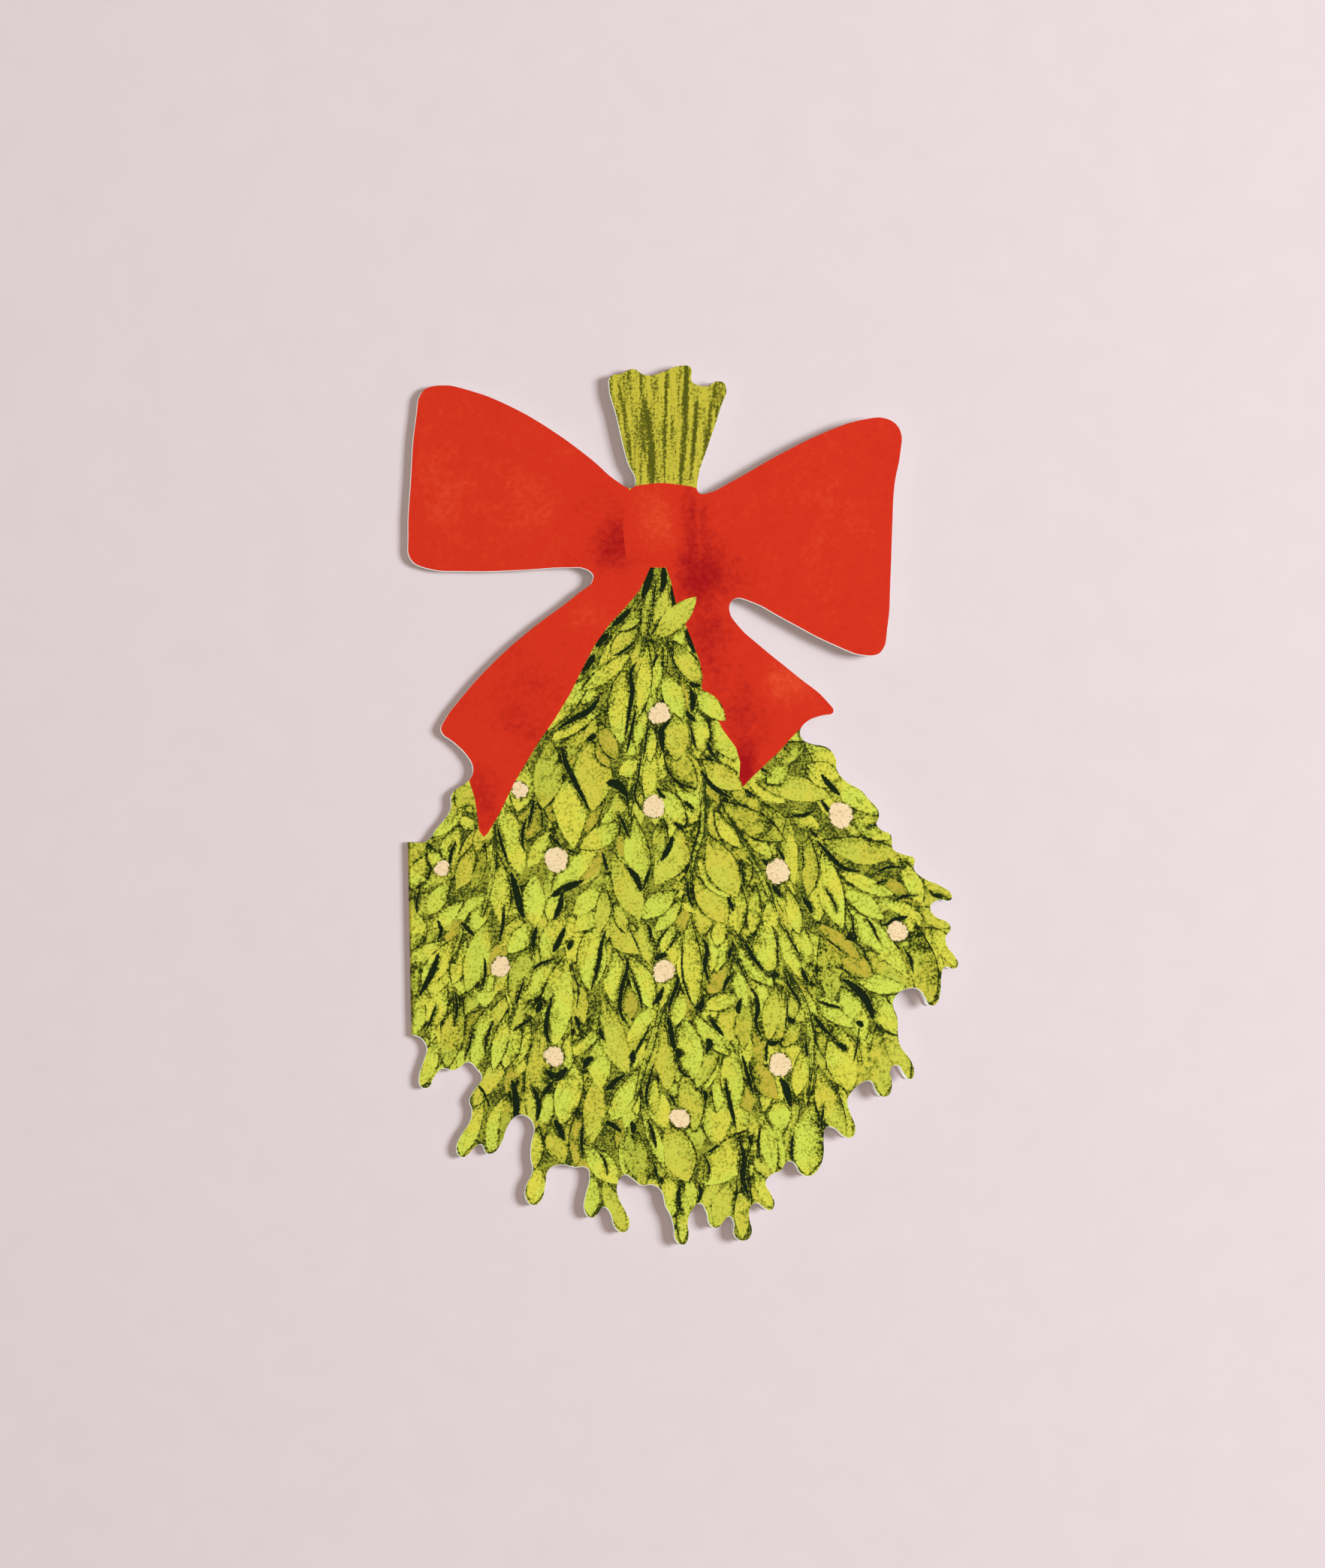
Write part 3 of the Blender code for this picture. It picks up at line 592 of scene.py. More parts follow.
GAPS_MIDDLE = [
    (1.0, (42, 84), (43, 81.6), (44, 79)), (0.9, (38.6, 76.4), (39.2, 74.2), (39.6, 72.2)),
    (1.5, (43.4, 73.4), (45.4, 70.8), (46.2, 68.2)), (0.9, (48.4, 73.6), (47.4, 71), (46.4, 68.4)),
    (0.9, (28.6, 79.2), (29.6, 78.4), (30.6, 77.6)), (0.8, (31.6, 77), (33.4, 76.2)),
    (1.7, (28.2, 67.6), (31, 69.2), (35, 70.8)), (1.3, (30.6, 69), (30, 65.6), (28.6, 62.8)),
    (0.9, (55.6, 71), (55.4, 68), (56.6, 64.6)), (1.4, (52.8, 79.4), (51.6, 76.6), (50.2, 74.2)),
    (1.1, (63.2, 67), (64, 65.4), (64.4, 64)), (0.8, (66.2, 74), (66.4, 71), (66.8, 68.2)),
    (1.2, (70.2, 74.4), (71.8, 72.8)), (1.0, (73.2, 76.6), (74.2, 75), (74.6, 74)),
    (1.3, (72, 69.4), (73, 68), (74, 66.8)), (1.1, (39, 61), (38, 57.6), (37.4, 54), (35.8, 48.6)),
    (0.5, (43.2, 62), (45, 58.2), (45.7, 56.2)),
    (1.1, (42.7, 56), (43.2, 53.6), (41.8, 48.4), (41.6, 44.6), (43.2, 41.6)),
    (1.0, (47.2, 62), (47.8, 60.4), (47.8, 58.4)), (0.7, (52, 61.6), (49.6, 58.6), (48.8, 55.4)),
    (1.4, (48.3, 54.6), (50, 55.6), (51, 55.4)), (0.6, (53.8, 61.4), (52.2, 58), (50.6, 56.2)),
    (1.1, (52.6, 52), (53.1, 50.4), (51.7, 46.6), (51.1, 43.8)),
    (1.4, (50.9, 44), (51.4, 41.6), (51.9, 38.4), (52.6, 35.6)),
    (1.6, (52.2, 37), (53, 36.2), (53, 35)), (0.8, (52.6, 34.6), (53.6, 32.4), (55.6, 31)),
    (1.3, (50, 49.2), (49.4, 47.4), (48, 45.6)), (0.8, (43.8, 52.8), (45.4, 48), (46, 44.6)),
    (0.6, (32, 55.6), (32.6, 52), (33.4, 49), (32.8, 45)),
    (1.1, (32.5, 44), (33.1, 42.8), (33.6, 41.2)),
    (0.5, (35.8, 45), (35.7, 42.2), (34.4, 40.3), (31.8, 38)),
    (1.6, (36, 35.8), (34.8, 34.8), (33.9, 33.2)),
    (0.8, (47.6, 42.4), (46.2, 39.4), (44, 35.6), (43.2, 33)),
    (1.5, (44, 37), (43.9, 35.6), (43.8, 34.2)),
    (0.9, (48.2, 34.6), (47.2, 31.4), (46.4, 28), (46.7, 25)),
    (1.6, (42.4, 32.2), (40.2, 30.6), (38.2, 28.8)), (1.1, (37.4, 41.8), (37.6, 40.4), (38.4, 39)),
    (0.5, (44, 33), (40, 29.4), (38.4, 25.4)), (1.2, (58, 59.4), (59, 56.6), (58.5, 53.4), (59.3, 50)),
    (0.6, (54.2, 60), (54, 52), (55.2, 47.4), (56.4, 45.2)),
    (1.6, (56.3, 45.4), (57.4, 45.2), (58.2, 47.2)), (1.2, (59.3, 43), (60.4, 41.4), (62, 39.4)),
    (1.3, (65.6, 47), (65, 45), (65.1, 43.6)), (1.6, (58.4, 38.8), (59.2, 38), (58.4, 36)),
    (1.1, (67, 49.6), (68.6, 47), (68.8, 44.4), (68.4, 42), (70, 38)),
    (0.6, (64.3, 57), (65.6, 53), (67.6, 48.6)), (1.2, (66, 58), (67, 57), (68.4, 54.4), (70.6, 51.6)),
    (1.5, (71.4, 51.2), (72.4, 51.4), (73.2, 51)), (0.6, (72, 61), (73, 57), (72.7, 52.4)),
    (0.9, (74.4, 52.6), (75, 49.4), (76.6, 46.8), (77.7, 44.2)),
    (1.4, (74.7, 43), (75.4, 42.2), (76.4, 42)), (0.5, (74.8, 48), (74.6, 43.6), (74, 39.6)),
    (1.0, (63.8, 57.4), (63.5, 55.8), (63.4, 54.4)), (1.1, (63.9, 51.4), (63.1, 50.6), (61.8, 48.2)),
    (1.3, (70.2, 38.4), (71.6, 37.8), (73.2, 38.2)), (0.6, (64, 61), (65.8, 58.4), (67, 57.6)),
]
BERRIES = [
    (50.5, 103.5, 2.2), (49, 85, 2.3), (86, 82.7, 2.6), (29.5, 75, 2.5), (73.3, 71.8, 2.5),
    (6.8, 73.7, 1.6), (22.5, 89, 1.8), (96.8, 59.5, 2.1), (18, 54, 2.1), (50.3, 52.5, 2.3),
    (28.3, 36, 2.1), (73, 33.5, 2.4), (53, 23.3, 2.1),
]
gap_rows = GAPS_RIGHT + GAPS_LOWER + GAPS_LEFT + GAPS_UPPER + GAPS_MIDDLE
print(len(gap_rows), "ink strokes and", len(BERRIES), "berries")

# %% [markdown]
# ## Twigs, ribbon and cut stems
# The ribbon lies over the foliage on the left and under a few leaf tips on the right, and its knot
# covers the foot of the cut stems. So the order of drawing is foliage, ribbon, tips, stems, knot.

# %% Twigs, ribbon and cut stems
TWIGS = [
    (1.1, (59.5, 92.5), (58.8, 86), (58.5, 80), (57, 75.6), (56, 70.5)),
    (1.0, (64, 82.5), (67, 77), (69.5, 72), (71.5, 67.5), (74, 60.5)),
    (1.0, (47, 98.5), (46, 92), (44.5, 86), (44, 79.5)),
    (1.2, (51.8, 47.6), (49.4, 43.6), (47.6, 38), (45.6, 32), (44.2, 26.5)),
    (1.3, (74.6, 52.4), (76.6, 49), (78.3, 45), (79.2, 40), (79.3, 34), (78.4, 26.5)),
    (1.0, (17.5, 82), (17.2, 76), (16.4, 70), (14.6, 64)), (1.0, (12, 64.5), (10, 60), (8.8, 55)),
]
RIBBON = [
    (-6, 91.5), (12.4, 91.3), (13.5, 87.5), (14, 84), (14.3, 81), (15.2, 79.7), (16, 80.5),
    (18.5, 84.5), (21.5, 90.5), (24, 94.5), (26.5, 98.5), (29.5, 102.5), (33, 108), (35, 112),
    (38, 117.5), (41, 121.5), (44, 124.5), (47, 128), (48.3, 130.5), (49.4, 132.9), (52.2, 132.7),
    (53.2, 130), (53.8, 127), (54.4, 124.2), (56.2, 120.5), (57.5, 117), (58.7, 113.5), (59.2, 110.5),
    (58.9, 108.5), (61, 104.4), (63, 100), (65.5, 96.5), (66.3, 93.5), (66, 90), (66.8, 88.7), (68, 90),
    (71, 92.8), (74, 95.5), (76.5, 98.2), (78.4, 100.1), (82, 100.6), (112, 101), (112, 180), (-6, 180),
]
CUT_STEMS = [  # the foot's middle and half width, then the top's, from left to right
    (47.1, 0.9, 43.6, 1.9), (48.6, 0.7, 46.6, 1.4), (50.1, 0.9, 49.2, 1.5), (51.6, 0.8, 51.9, 1.6),
    (53.2, 0.9, 54.9, 1.6), (54.9, 0.8, 57.4, 1.4), (56.6, 0.8, 60.1, 1.5), (58.2, 0.9, 62.8, 1.7),
]
STEM_FOOT, STEM_TOP = 147.6, 174.5
STEM_OVERLAP = 0.12  # mm by which each stalk runs under the next
STEM_GROUND = [(45.4, 147.8), (44.2, 151), (38, 176), (69, 176), (61.6, 150), (60, 147.8)]
SHADOW_INK = (0.0, 0.0, 0.0)  # tells a shadow of the stems from a stalk, whose ink starts with more
STEM_SHADOWS = [
    (1.5, (43, 173), (45, 160), (46.8, 146)), (1.2, (47.8, 173), (48.2, 160), (48.7, 146)),
    (3.2, (48.4, 167), (49.4, 157), (49.8, 146)), (1.4, (53, 173), (52.7, 160), (52.2, 146)),
    (1.9, (57.4, 175), (56.6, 162), (55.4, 146)), (1.5, (59.8, 171), (58.4, 158), (57, 146)),
    (1.7, (63.6, 173), (61.4, 160), (58.8, 146)),
]
KNOT = [
    (44.6, 134.2), (44, 140), (44.6, 146), (46, 148.4), (49, 149), (52, 149.15), (55, 148.8),
    (58.6, 148), (59.2, 146), (58.8, 140), (59.3, 134.4), (56, 132.6), (52.2, 132.4), (49.4, 132.5),
    (46.6, 132.8),
]


def cut_stem(foot, foot_half, top, top_half):
    """A tapered stalk, as a stroke whose width follows its own straight sides."""
    middle = (foot + top) / 2, (STEM_FOOT + STEM_TOP) / 2
    stem = Stroke(2, (foot, STEM_FOOT), middle, (top, STEM_TOP), finish="stem", blunt=True)
    stem.half_width = lambda share: foot_half + (top_half - foot_half) * share + STEM_OVERLAP
    return stem


# %% [markdown]
# ## Filling leaves and the order of drawing
# The listed leaves leave slits here and there. A few hundred more are scattered under
# them along the direction in which the bunch hangs there, by a seeded generator, and one is kept
# only where the others leave it in view. The list that comes out is the order in which a person
# would draw: the last shape that covers a point is the one that is seen.

# %% Order of drawing
FILLER_STEP = 5.2  # mm between the filling leaves
FILLER_ROWS, FILLER_COLUMNS = 26, 22
FILLER_INKS = "lllyymmo"  # one is drawn for each leaf, so light green comes up most often


def hanging_direction(x, y):
    """Straight down below the knot, and more and more outwards towards the sides and the top."""
    lean = math.radians((x - 51) / 52 * (16 + 44 * min(max(y, 0), 100) / 80))
    return Vector((math.sin(lean), -math.cos(lean)))


def turned(direction, degrees):
    return Matrix.Rotation(math.radians(degrees), 2) @ direction


def is_seen(leaf, above):
    """Whether a good part of a leaf's middle line is clear of the leaves above it."""
    spots = [leaf.middle(share) for share in (0.15, 0.35, 0.55, 0.75, 0.9)]
    clear = [all(other.outside(spot) > 0 for other in above
                 if (other.base - spot).length < other.length + 3) for spot in spots]
    return sum(clear) >= 2


def in_foliage(x, y):
    """The drawing's foliage: a bell below the knot, and a disc under it."""
    in_bell = 70 < y < 128 and abs(x - 51) < 6 + (128 - y) * 0.75
    return in_bell or (x - 52) ** 2 + (y - 55) ** 2 < 60 ** 2 and y <= 98


def filling_leaves(above):
    chance = random.Random(7)
    fillers = []
    for row in range(FILLER_ROWS):
        for column in range(FILLER_COLUMNS):
            x = column * FILLER_STEP + chance.uniform(-1.6, 1.6) + (row % 2) * FILLER_STEP / 2
            y = row * FILLER_STEP + chance.uniform(-1.6, 1.6)
            length, width = chance.uniform(9, 13), chance.uniform(3.4, 5)
            direction = turned(hanging_direction(x, y), chance.choice((-1, 1)) * chance.uniform(6, 26))
            base = Vector((x, y)) - direction * length / 2
            ink = LEAF_INKS[chance.choice(FILLER_INKS)]
            bow, side = chance.uniform(-0.05, 0.05), chance.uniform(-1, 1)
            leaf = Leaf(base, base + direction * length, width, ink, bow, side)
            if in_foliage(x, y) and is_seen(leaf, above):
                fillers.append(leaf)
    return sorted(fillers, key=lambda leaf: leaf.base.y)


def hand_set(rows, chance):
    """The listed leaves, each with a little bow and one shaded side, and its ink a little varied."""
    leaves = []
    for base_x, base_y, tip_x, tip_y, width, ink in sorted(rows, key=lambda row: row[1]):
        lightness, ochre, grain = LEAF_INKS[ink]
        ink = (lightness + chance.uniform(-0.07, 0.07), ochre, grain * chance.uniform(0.8, 1.2))
        bow, side = chance.uniform(-0.05, 0.05), chance.choice((-1, 1)) * chance.uniform(0.2, 0.9)
        leaves.append(Leaf((base_x, base_y), (tip_x, tip_y), width, ink, bow, side))
    return leaves


chance = random.Random(3)
leaves = hand_set(listed, chance)
tips = hand_set(SPRIGS_OVER_RIBBON, chance)
fillers = filling_leaves(leaves)
drawing = (
    fillers + leaves
    + [Stroke(width, *points, finish="twig") for width, *points in TWIGS]
    + [Stroke(width, *points) for width, *points in gap_rows]
    + [Berry(*row) for row in BERRIES]
    + [Field("ribbon", RIBBON)]
    + tips
    + [Field("stem", STEM_GROUND)]
    + [cut_stem(*row) for row in CUT_STEMS]
    + [Stroke(width, *points, finish="stem", ink=SHADOW_INK) for width, *points in STEM_SHADOWS]
    + [Field("ribbon", rounded(KNOT + KNOT[:1], 3)[:-1])]
)
print(f"{len(fillers)} filling leaves; {len(drawing)} shapes in all")

# %% [markdown]
# ## Setting the drawing out on the sheet
# A constrained Delaunay triangulation cuts the flat sheet along every line of the drawing at once:
# the outline, the leaves, their middle lines and a rim round each leaf for its shadow. Each small
# triangle then lies under exactly one visible shape, which gives it its ink. The outline is laid
# in twice, the second time a little up and right: what lies outside the second one is the thin
# white margin that is left where a print and its cut do not quite meet.

# %% Cut the flat sheet along the drawing
FOLD_STEPS = 12
PRINT_END = FOLD_LINE - FOLD_ARC / 2  # the ink goes half way round the fold; the back is bare board
MISREGISTER = Vector((0.13, 0.11))  # mm; the print sits this far up and right of the cut, as prints do
PRINTED = (-1, False)  # marks what lies inside the print, moved that far
RIBBON_GRID = 2.0  # mm between the extra points that carry the ribbon's soft tones
RIBBON_REACH = (2, 100), (80, 173)  # mm, in X and in Y
fold_lines = [FOLD_LINE - FOLD_ARC * step / FOLD_STEPS for step in range(FOLD_STEPS + 1)]


def signed_area(loop):
    """Positive where the loop runs anticlockwise, as the triangulation wants it."""
    return sum(a[0] * b[1] - b[0] * a[1] for a, b in zip(loop, loop[1:] + loop[:1])) / 2


def widened(loop, amount):
    """A closed loop moved outwards by this much."""
    turn = math.copysign(amount, signed_area(loop))
    moved = []
    for before, here, after in zip(loop[-1:] + loop[:-1], loop, loop[1:] + loop[:1]):
        ahead = (Vector(after) - Vector(before)).normalized()
        moved.append(Vector(here) + Vector((ahead.y, -ahead.x)) * turn)
    return moved


def casts_shade(shape):
    return isinstance(shape, Leaf) and shape not in fillers or shape.finish in ("berry", "twig", "gap")


def cut_sheet(outline, shapes):
    """Triangles of the sheet: its points, each triangle's corners, and the shapes and rims over each."""
    points, edges, loops, owners = [], [], [], []

    def add_loop(loop, owner):
        loop = loop if signed_area(loop) > 0 else loop[::-1]
        loops.append(list(range(len(points), len(points) + len(loop))))
        points.extend(Vector(point) for point in loop)
        owners.append(owner)

    def add_line(line):
        edges.extend((len(points) + step, len(points) + step + 1) for step in range(len(line) - 1))
        points.extend(Vector(point) for point in line)

    add_loop(outline, None)
    add_loop([Vector(point) + MISREGISTER for point in outline], PRINTED)
    for x in fold_lines:
        add_line([(x, fold_foot), (x, fold_top)])
    for number, shape in enumerate(shapes):
        add_loop(shape.outline(), (number, False))
        for rib in shape.ribs():
            add_line(rib)
        if casts_shade(shape):
            add_loop(widened(shape.outline(), HALO), (number, True))
    columns, rows = (np.arange(*reach, RIBBON_GRID) for reach in RIBBON_REACH)
    points.extend(Vector((x, y)) for y in rows for x in columns)

    places, _, triangles, _, _, covers = delaunay_2d_cdt(points, edges, loops, 1, 1e-4)
    kept = []
    for corners, over in zip(triangles, covers):
        if 0 in over:
            kept.append((corners, [owners[loop] for loop in over if loop]))
    return places, kept


sheet_points, sheet_triangles = cut_sheet(sheet_outline, drawing)
print(f"{len(sheet_points)} points, {len(sheet_triangles)} triangles")

# %% [markdown]
# ## Soft tones of the ribbon and the foliage
# The ribbon is one red wash with darker folds beside the knot and a few lighter passages, and some
# places of the foliage are rubbed darker with the side of the pencil. Each is a soft round patch
# that adds to the tone or takes from it, which is quicker to place and to move than drawn outlines,
# and has no edge of its own.

# %% Soft patches: middle, reach in X and Y, amount
RIBBON_WASHES = [
    (43.2, 138.5, 3.6, 5.5, -0.32), (40, 135.5, 4, 3.6, -0.22), (60.6, 135, 3.6, 4.6, -0.26),
    (57.6, 130, 5, 4, -0.36), (59.8, 143, 1.4, 5, -0.2), (67.2, 91.5, 2.5, 5, -0.42),
    (67, 103, 6, 9, -0.22), (75.5, 109, 4.5, 4.5, 0.3), (24, 104, 9, 12, -0.14),
    (14.5, 87, 3.5, 6, -0.25), (8, 150, 5, 14, 0.14), (38.5, 145, 4, 5, -0.1), (86, 140, 9, 14, 0.06),
    (25, 145, 10, 10, 0.1), (60, 119, 4.5, 8, -0.28), (38, 123, 5, 5, 0.1), (20, 97, 4, 4, 0.08),
    (97, 150, 3, 12, -0.06), (66, 130, 5, 4, -0.14),
]
KNOT_WASHES = [
    (51, 142, 4, 6.5, 0.22), (57.2, 141.5, 2.0, 8, -0.36), (56.6, 133, 3.4, 3.4, -0.3),
    (45, 142, 0.9, 5, -0.2), (47.5, 134, 4, 2, -0.12),
]
RUBBED_LEAVES = [
    (21, 67, 2.2, 7, 0.7), (15.5, 76, 2.6, 6, 0.7), (35, 106, 4, 3, 0.6), (31, 93, 2.2, 6, 0.5),
    (1.5, 58, 2.2, 12, 0.5), (25.5, 46, 3, 3.6, 0.8), (12, 49, 3.6, 3, 0.5), (19, 42, 2.2, 4, 0.5),
    (27, 31, 3.6, 3, 0.8), (20.5, 30, 1.8, 3, 0.7), (34, 20, 3, 4, 0.5), (52.5, 5, 1.5, 3.4, 0.9),
    (65, 10, 2.4, 6, 0.8), (67, 18, 2.6, 4, 0.7), (80.8, 19, 1.7, 5, 0.8), (91.5, 43.5, 2.6, 4, 0.7),
    (92, 36, 1.8, 4, 0.8), (101.5, 57, 2.6, 3.6, 0.7), (80.5, 51, 3, 4, 0.7), (71, 79, 3.6, 5, 0.7),
    (68.5, 60, 2.6, 6, 0.7), (57, 78, 2.4, 6, 0.5), (92, 80, 2.6, 5, 0.7), (50, 78, 2, 4, 0.8),
    (54, 91, 3.6, 3.6, 0.6), (45, 17, 2.2, 4, 0.6), (76, 95, 4, 3, 0.7), (67.5, 33, 2, 4, 0.6),
    (10, 83, 3.4, 3, 0.5), (4, 74, 3, 6, 0.5), (40, 109, 3, 3, 0.5), (27, 79, 3.6, 3, 0.5),
    (48.6, 131, 2.6, 3, 0.9), (9, 39, 4, 3, 0.5),
]


def patches_at(point, patches):
    """What the soft patches add at a point."""
    total = 0.0
    for x, y, reach_x, reach_y, amount in patches:
        total += amount * math.exp(-(((point[0] - x) / reach_x) ** 2) - ((point[1] - y) / reach_y) ** 2)
    return total


ribbon, knot = [shape for shape in drawing if shape.finish == "ribbon"]
ribbon.washes, knot.washes = RIBBON_WASHES, KNOT_WASHES
print(len(RIBBON_WASHES) + len(KNOT_WASHES) + len(RUBBED_LEAVES), "soft patches")

# %% [markdown]
# ## Folding the sheet
# The sheet could be bent with a Simple Deform modifier, but its bend spreads over the whole length.
# A crease is an exact half cylinder between two flat leaves, so each point is rolled round the
# hinge by its own distance from the fold line. Solidify would give the board its thickness, but it
# would copy every cut of the drawing to the inner side. So the inner face is made from the outline
# alone, a board's thickness deeper, and joined to the outer one along the cut edge. The numbers that
# the shading needs are stored on each triangle's corners, so they may jump from leaf to leaf. The
# sheet also gets a map on which its finishes can be baked, where the print has most of the room.

# %% Fold the sheet
FINISHES = ["ground", "gap", "leaf", "twig", "berry", "ribbon", "stem", "board"]
GROUND_INK = (0.1, 0.0, 0.6)
BLANK = ((0.5, 0, 1), GROUND_INK, 0.0, 0.0)  # the numbers of a corner that no shape covers
# On the map for baking: where each side of the sheet starts, and its width there.
MAP_PRINT, MAP_BACK, MAP_INSIDE = (0.002, 0.798), (0.81, 0.06), (0.88, 0.06)
MAP_FOOT, MAP_HEIGHT = 0.002, 0.996
EDGE_COLUMNS = 10  # the cut edge is a long, thin strip, so it is laid in columns
EDGE_START, EDGE_STEP, EDGE_WIDTH = 0.95, 0.005, 0.0035


def folded(x, y, depth=0.0):
    """Where a point of the flat sheet, this deep in the board, is on the closed card, in metres."""
    radius = RADIUS - depth
    out = x - FOLD_LINE
    if out >= 0:
        across = out * math.cos(REST_ANGLE) - radius * math.sin(REST_ANGLE)
        height = out * math.sin(REST_ANGLE) + radius * math.cos(REST_ANGLE)
    elif x > BACK_LINE:
        angle = math.pi / 2 + REST_ANGLE - out / RADIUS
        across, height = radius * math.cos(angle), radius * math.sin(angle)
    else:
        across, height = BACK_LINE - x, -radius
    return Vector((HINGE.x + across, y - RULER_Y, HINGE.z + height)) * MM


def inked(points, triangles, shapes):
    """For each triangle its finish, and for each corner (place, ink, shade, side)."""
    known = {}
    rubbed = [patches_at(point, RUBBED_LEAVES) for point in points]

    def place(number, index):
        key = number, index
        if key not in known:
            known[key] = shapes[number].place(points[index])
        return known[key]

    finishes, corners = [], []
    for triangle, over in triangles:
        middle_x = sum(points[index][0] for index in triangle) / 3
        seen = max((number for number, is_rim in over if not is_rim), default=None)
        if middle_x < PRINT_END or PRINTED not in over:
            finish, seen = "board", None
        else:
            seen = None if seen == PRINTED[0] else seen
            finish = "ground" if seen is None else shapes[seen].finish
        rims = [number for number, is_rim in over if is_rim and (seen is None or number > seen)]
        finishes.append(FINISHES.index(finish))
        for index in triangle:
            if seen is None:
                corners.append(BLANK)
                continue
            shape = shapes[seen]
            nearest = min((shapes[number].outside(points[index]) for number in rims), default=HALO)
            ink = shape.ink
            if finish == "ribbon":
                ink = (0.5 + patches_at(points[index], shape.washes), 0, 0)
            elif finish == "leaf":
                ink = (ink[0], ink[1], ink[2] + rubbed[index])
            corners.append((place(seen, index), ink, max(1 - nearest / HALO, 0), shape.side))
    return finishes, corners


def border_loop(triangles):
    """The vertices round the edge of the sheet, in the order in which its own faces run past them."""
    directed = {(a, b) for corners in triangles for a, b in zip(corners, corners[1:] + corners[:1])}
    following = {a: b for a, b in directed if (b, a) not in directed}
    start = next(iter(following))
    loop, here = [start], following[start]
    while here != start:
        loop.append(here)
        here = following[here]
    return loop


def inner_side(loop):
    """The plain inner face of the board: its points, triangles, and where each border point went."""
    points = [Vector(sheet_points[index]) for index in loop]
    lines = []
    for x in fold_lines:
        lines.append((len(points), len(points) + 1))
        points += [Vector((x, fold_foot)), Vector((x, fold_top))]
    steps = list(range(len(loop)))
    places, _, triangles, came_from, _, _ = delaunay_2d_cdt(points, lines, [steps], 1, 1e-5)
    landed = {old: new for new, olds in enumerate(came_from) for old in olds if old < len(loop)}
    return places, triangles, [landed[step] for step in steps]


def add_layers(mesh, corners):
    """Stores the numbers that the finishes read on the corners of the printed faces."""
    corners = corners + [BLANK] * (len(mesh.loops) - len(corners))
    for title, numbers in zip(("place", "ink", "shade", "side"), zip(*corners)):
        numbers = np.array(numbers, np.float32)
        kind, key = ("FLOAT", "value") if numbers.ndim == 1 else ("FLOAT_VECTOR", "vector")
        mesh.attributes.new(title, kind, "CORNER").data.foreach_set(key, numbers.ravel())


def on_map(column, first_x, last_x, point):
    """A point of the flat sheet in one column of the map, which runs the sheet's whole height."""
    start, width = column
    low, high = cad_box[0][1] / MM + RULER_Y, cad_box[1][1] / MM + RULER_Y
    across, up = (point[0] - first_x) / (last_x - first_x), (point[1] - low) / (high - low)
    return start + width * across, MAP_FOOT + MAP_HEIGHT * up


def map_of_sheet(outer, inner, inner_places, rim_steps):
    """Where each corner lies on the map that a finish is baked on; most of it is the print."""
    left, right = min(point[0] for point in sheet_points), max(point[0] for point in sheet_points)
    spots = []
    for triangle in outer:
        printed = sum(sheet_points[index][0] for index in triangle) / 3 > PRINT_END
        column, last_x = (MAP_PRINT, right) if printed else (MAP_BACK, left)
        spots += [on_map(column, PRINT_END, last_x, sheet_points[index]) for index in triangle]
    for triangle in inner:
        spots += [on_map(MAP_INSIDE, left, right, inner_places[index]) for index in triangle]
    per_column = math.ceil(rim_steps / EDGE_COLUMNS)
    for step in range(rim_steps):
        column, row = divmod(step, per_column)
        near = EDGE_START + column * EDGE_STEP
        far = near + EDGE_WIDTH
        foot, top = row / per_column, (row + 1) / per_column
        spots += [(near, top), (near, foot), (far, foot), (far, top)]
    return spots


def printed_sheet(name):
    """The outer face with the drawing, the plain inner face, and the cut edge that joins them."""
    finishes, corners = inked(sheet_points, sheet_triangles, drawing)
    outer = [list(triangle) for triangle, _ in sheet_triangles]
    rim = border_loop(outer)
    inner_places, inner, inner_rim = inner_side(rim)
    inner = [triangle[::-1] for triangle in inner]
    first = len(sheet_points)
    places = [folded(*point) for point in sheet_points]
    places += [folded(*point, BOARD) for point in inner_places]
    faces = outer + [[first + index for index in triangle] for triangle in inner]
    for here in range(len(rim)):
        after = (here + 1) % len(rim)
        faces.append([rim[after], rim[here], first + inner_rim[here], first + inner_rim[after]])

    mesh = bpy.data.meshes.new(name)
    mesh.from_pydata(places, [], faces)
    bare = [FINISHES.index("board")] * (len(faces) - len(outer))
    mesh.polygons.foreach_set("material_index", finishes + bare)
    add_layers(mesh, corners)
    spots = map_of_sheet(outer, inner, inner_places, len(rim))
    mesh.uv_layers.new(name="OFBake").uv.foreach_set("vector", np.array(spots, np.float32).ravel())
    sheet = bpy.data.objects.new(name, mesh)
    bpy.context.scene.collection.objects.link(sheet)
    return sheet


def take(obj):
    """Makes this the only selected object, and the active one."""
    deselect()
    obj.select_set(True)
    bpy.context.view_layer.objects.active = obj


card = printed_sheet("card_sheet")
take(card)
bpy.ops.object.mode_set(mode="EDIT")
bpy.ops.mesh.select_all(action="SELECT")
bpy.ops.mesh.delete_loose()
bpy.ops.mesh.select_non_manifold()
bpy.ops.object.mode_set(mode="OBJECT")
open_edges = sum(edge.select for edge in card.data.edges)
card.data.calc_loop_triangles()
print(f"card: {len(card.data.loop_triangles)} triangles, {open_edges} open edges,",
      [round(side, 1) for side in card.dimensions / MM], "mm")

# %% [markdown]
# ## Pencil, wash and paper
# Every finish here is pigment on uncoated board, so all of them share two effects: the grain that a
# pencil leaves on rough paper, and the paper's own tooth. Each is a node group, built once. The
# grain is what turns an even darkness into dots: a fine noise is the height of the paper, and the
# pencil only colours what stands higher than the pressure allows.

# %% Shared effects as node groups


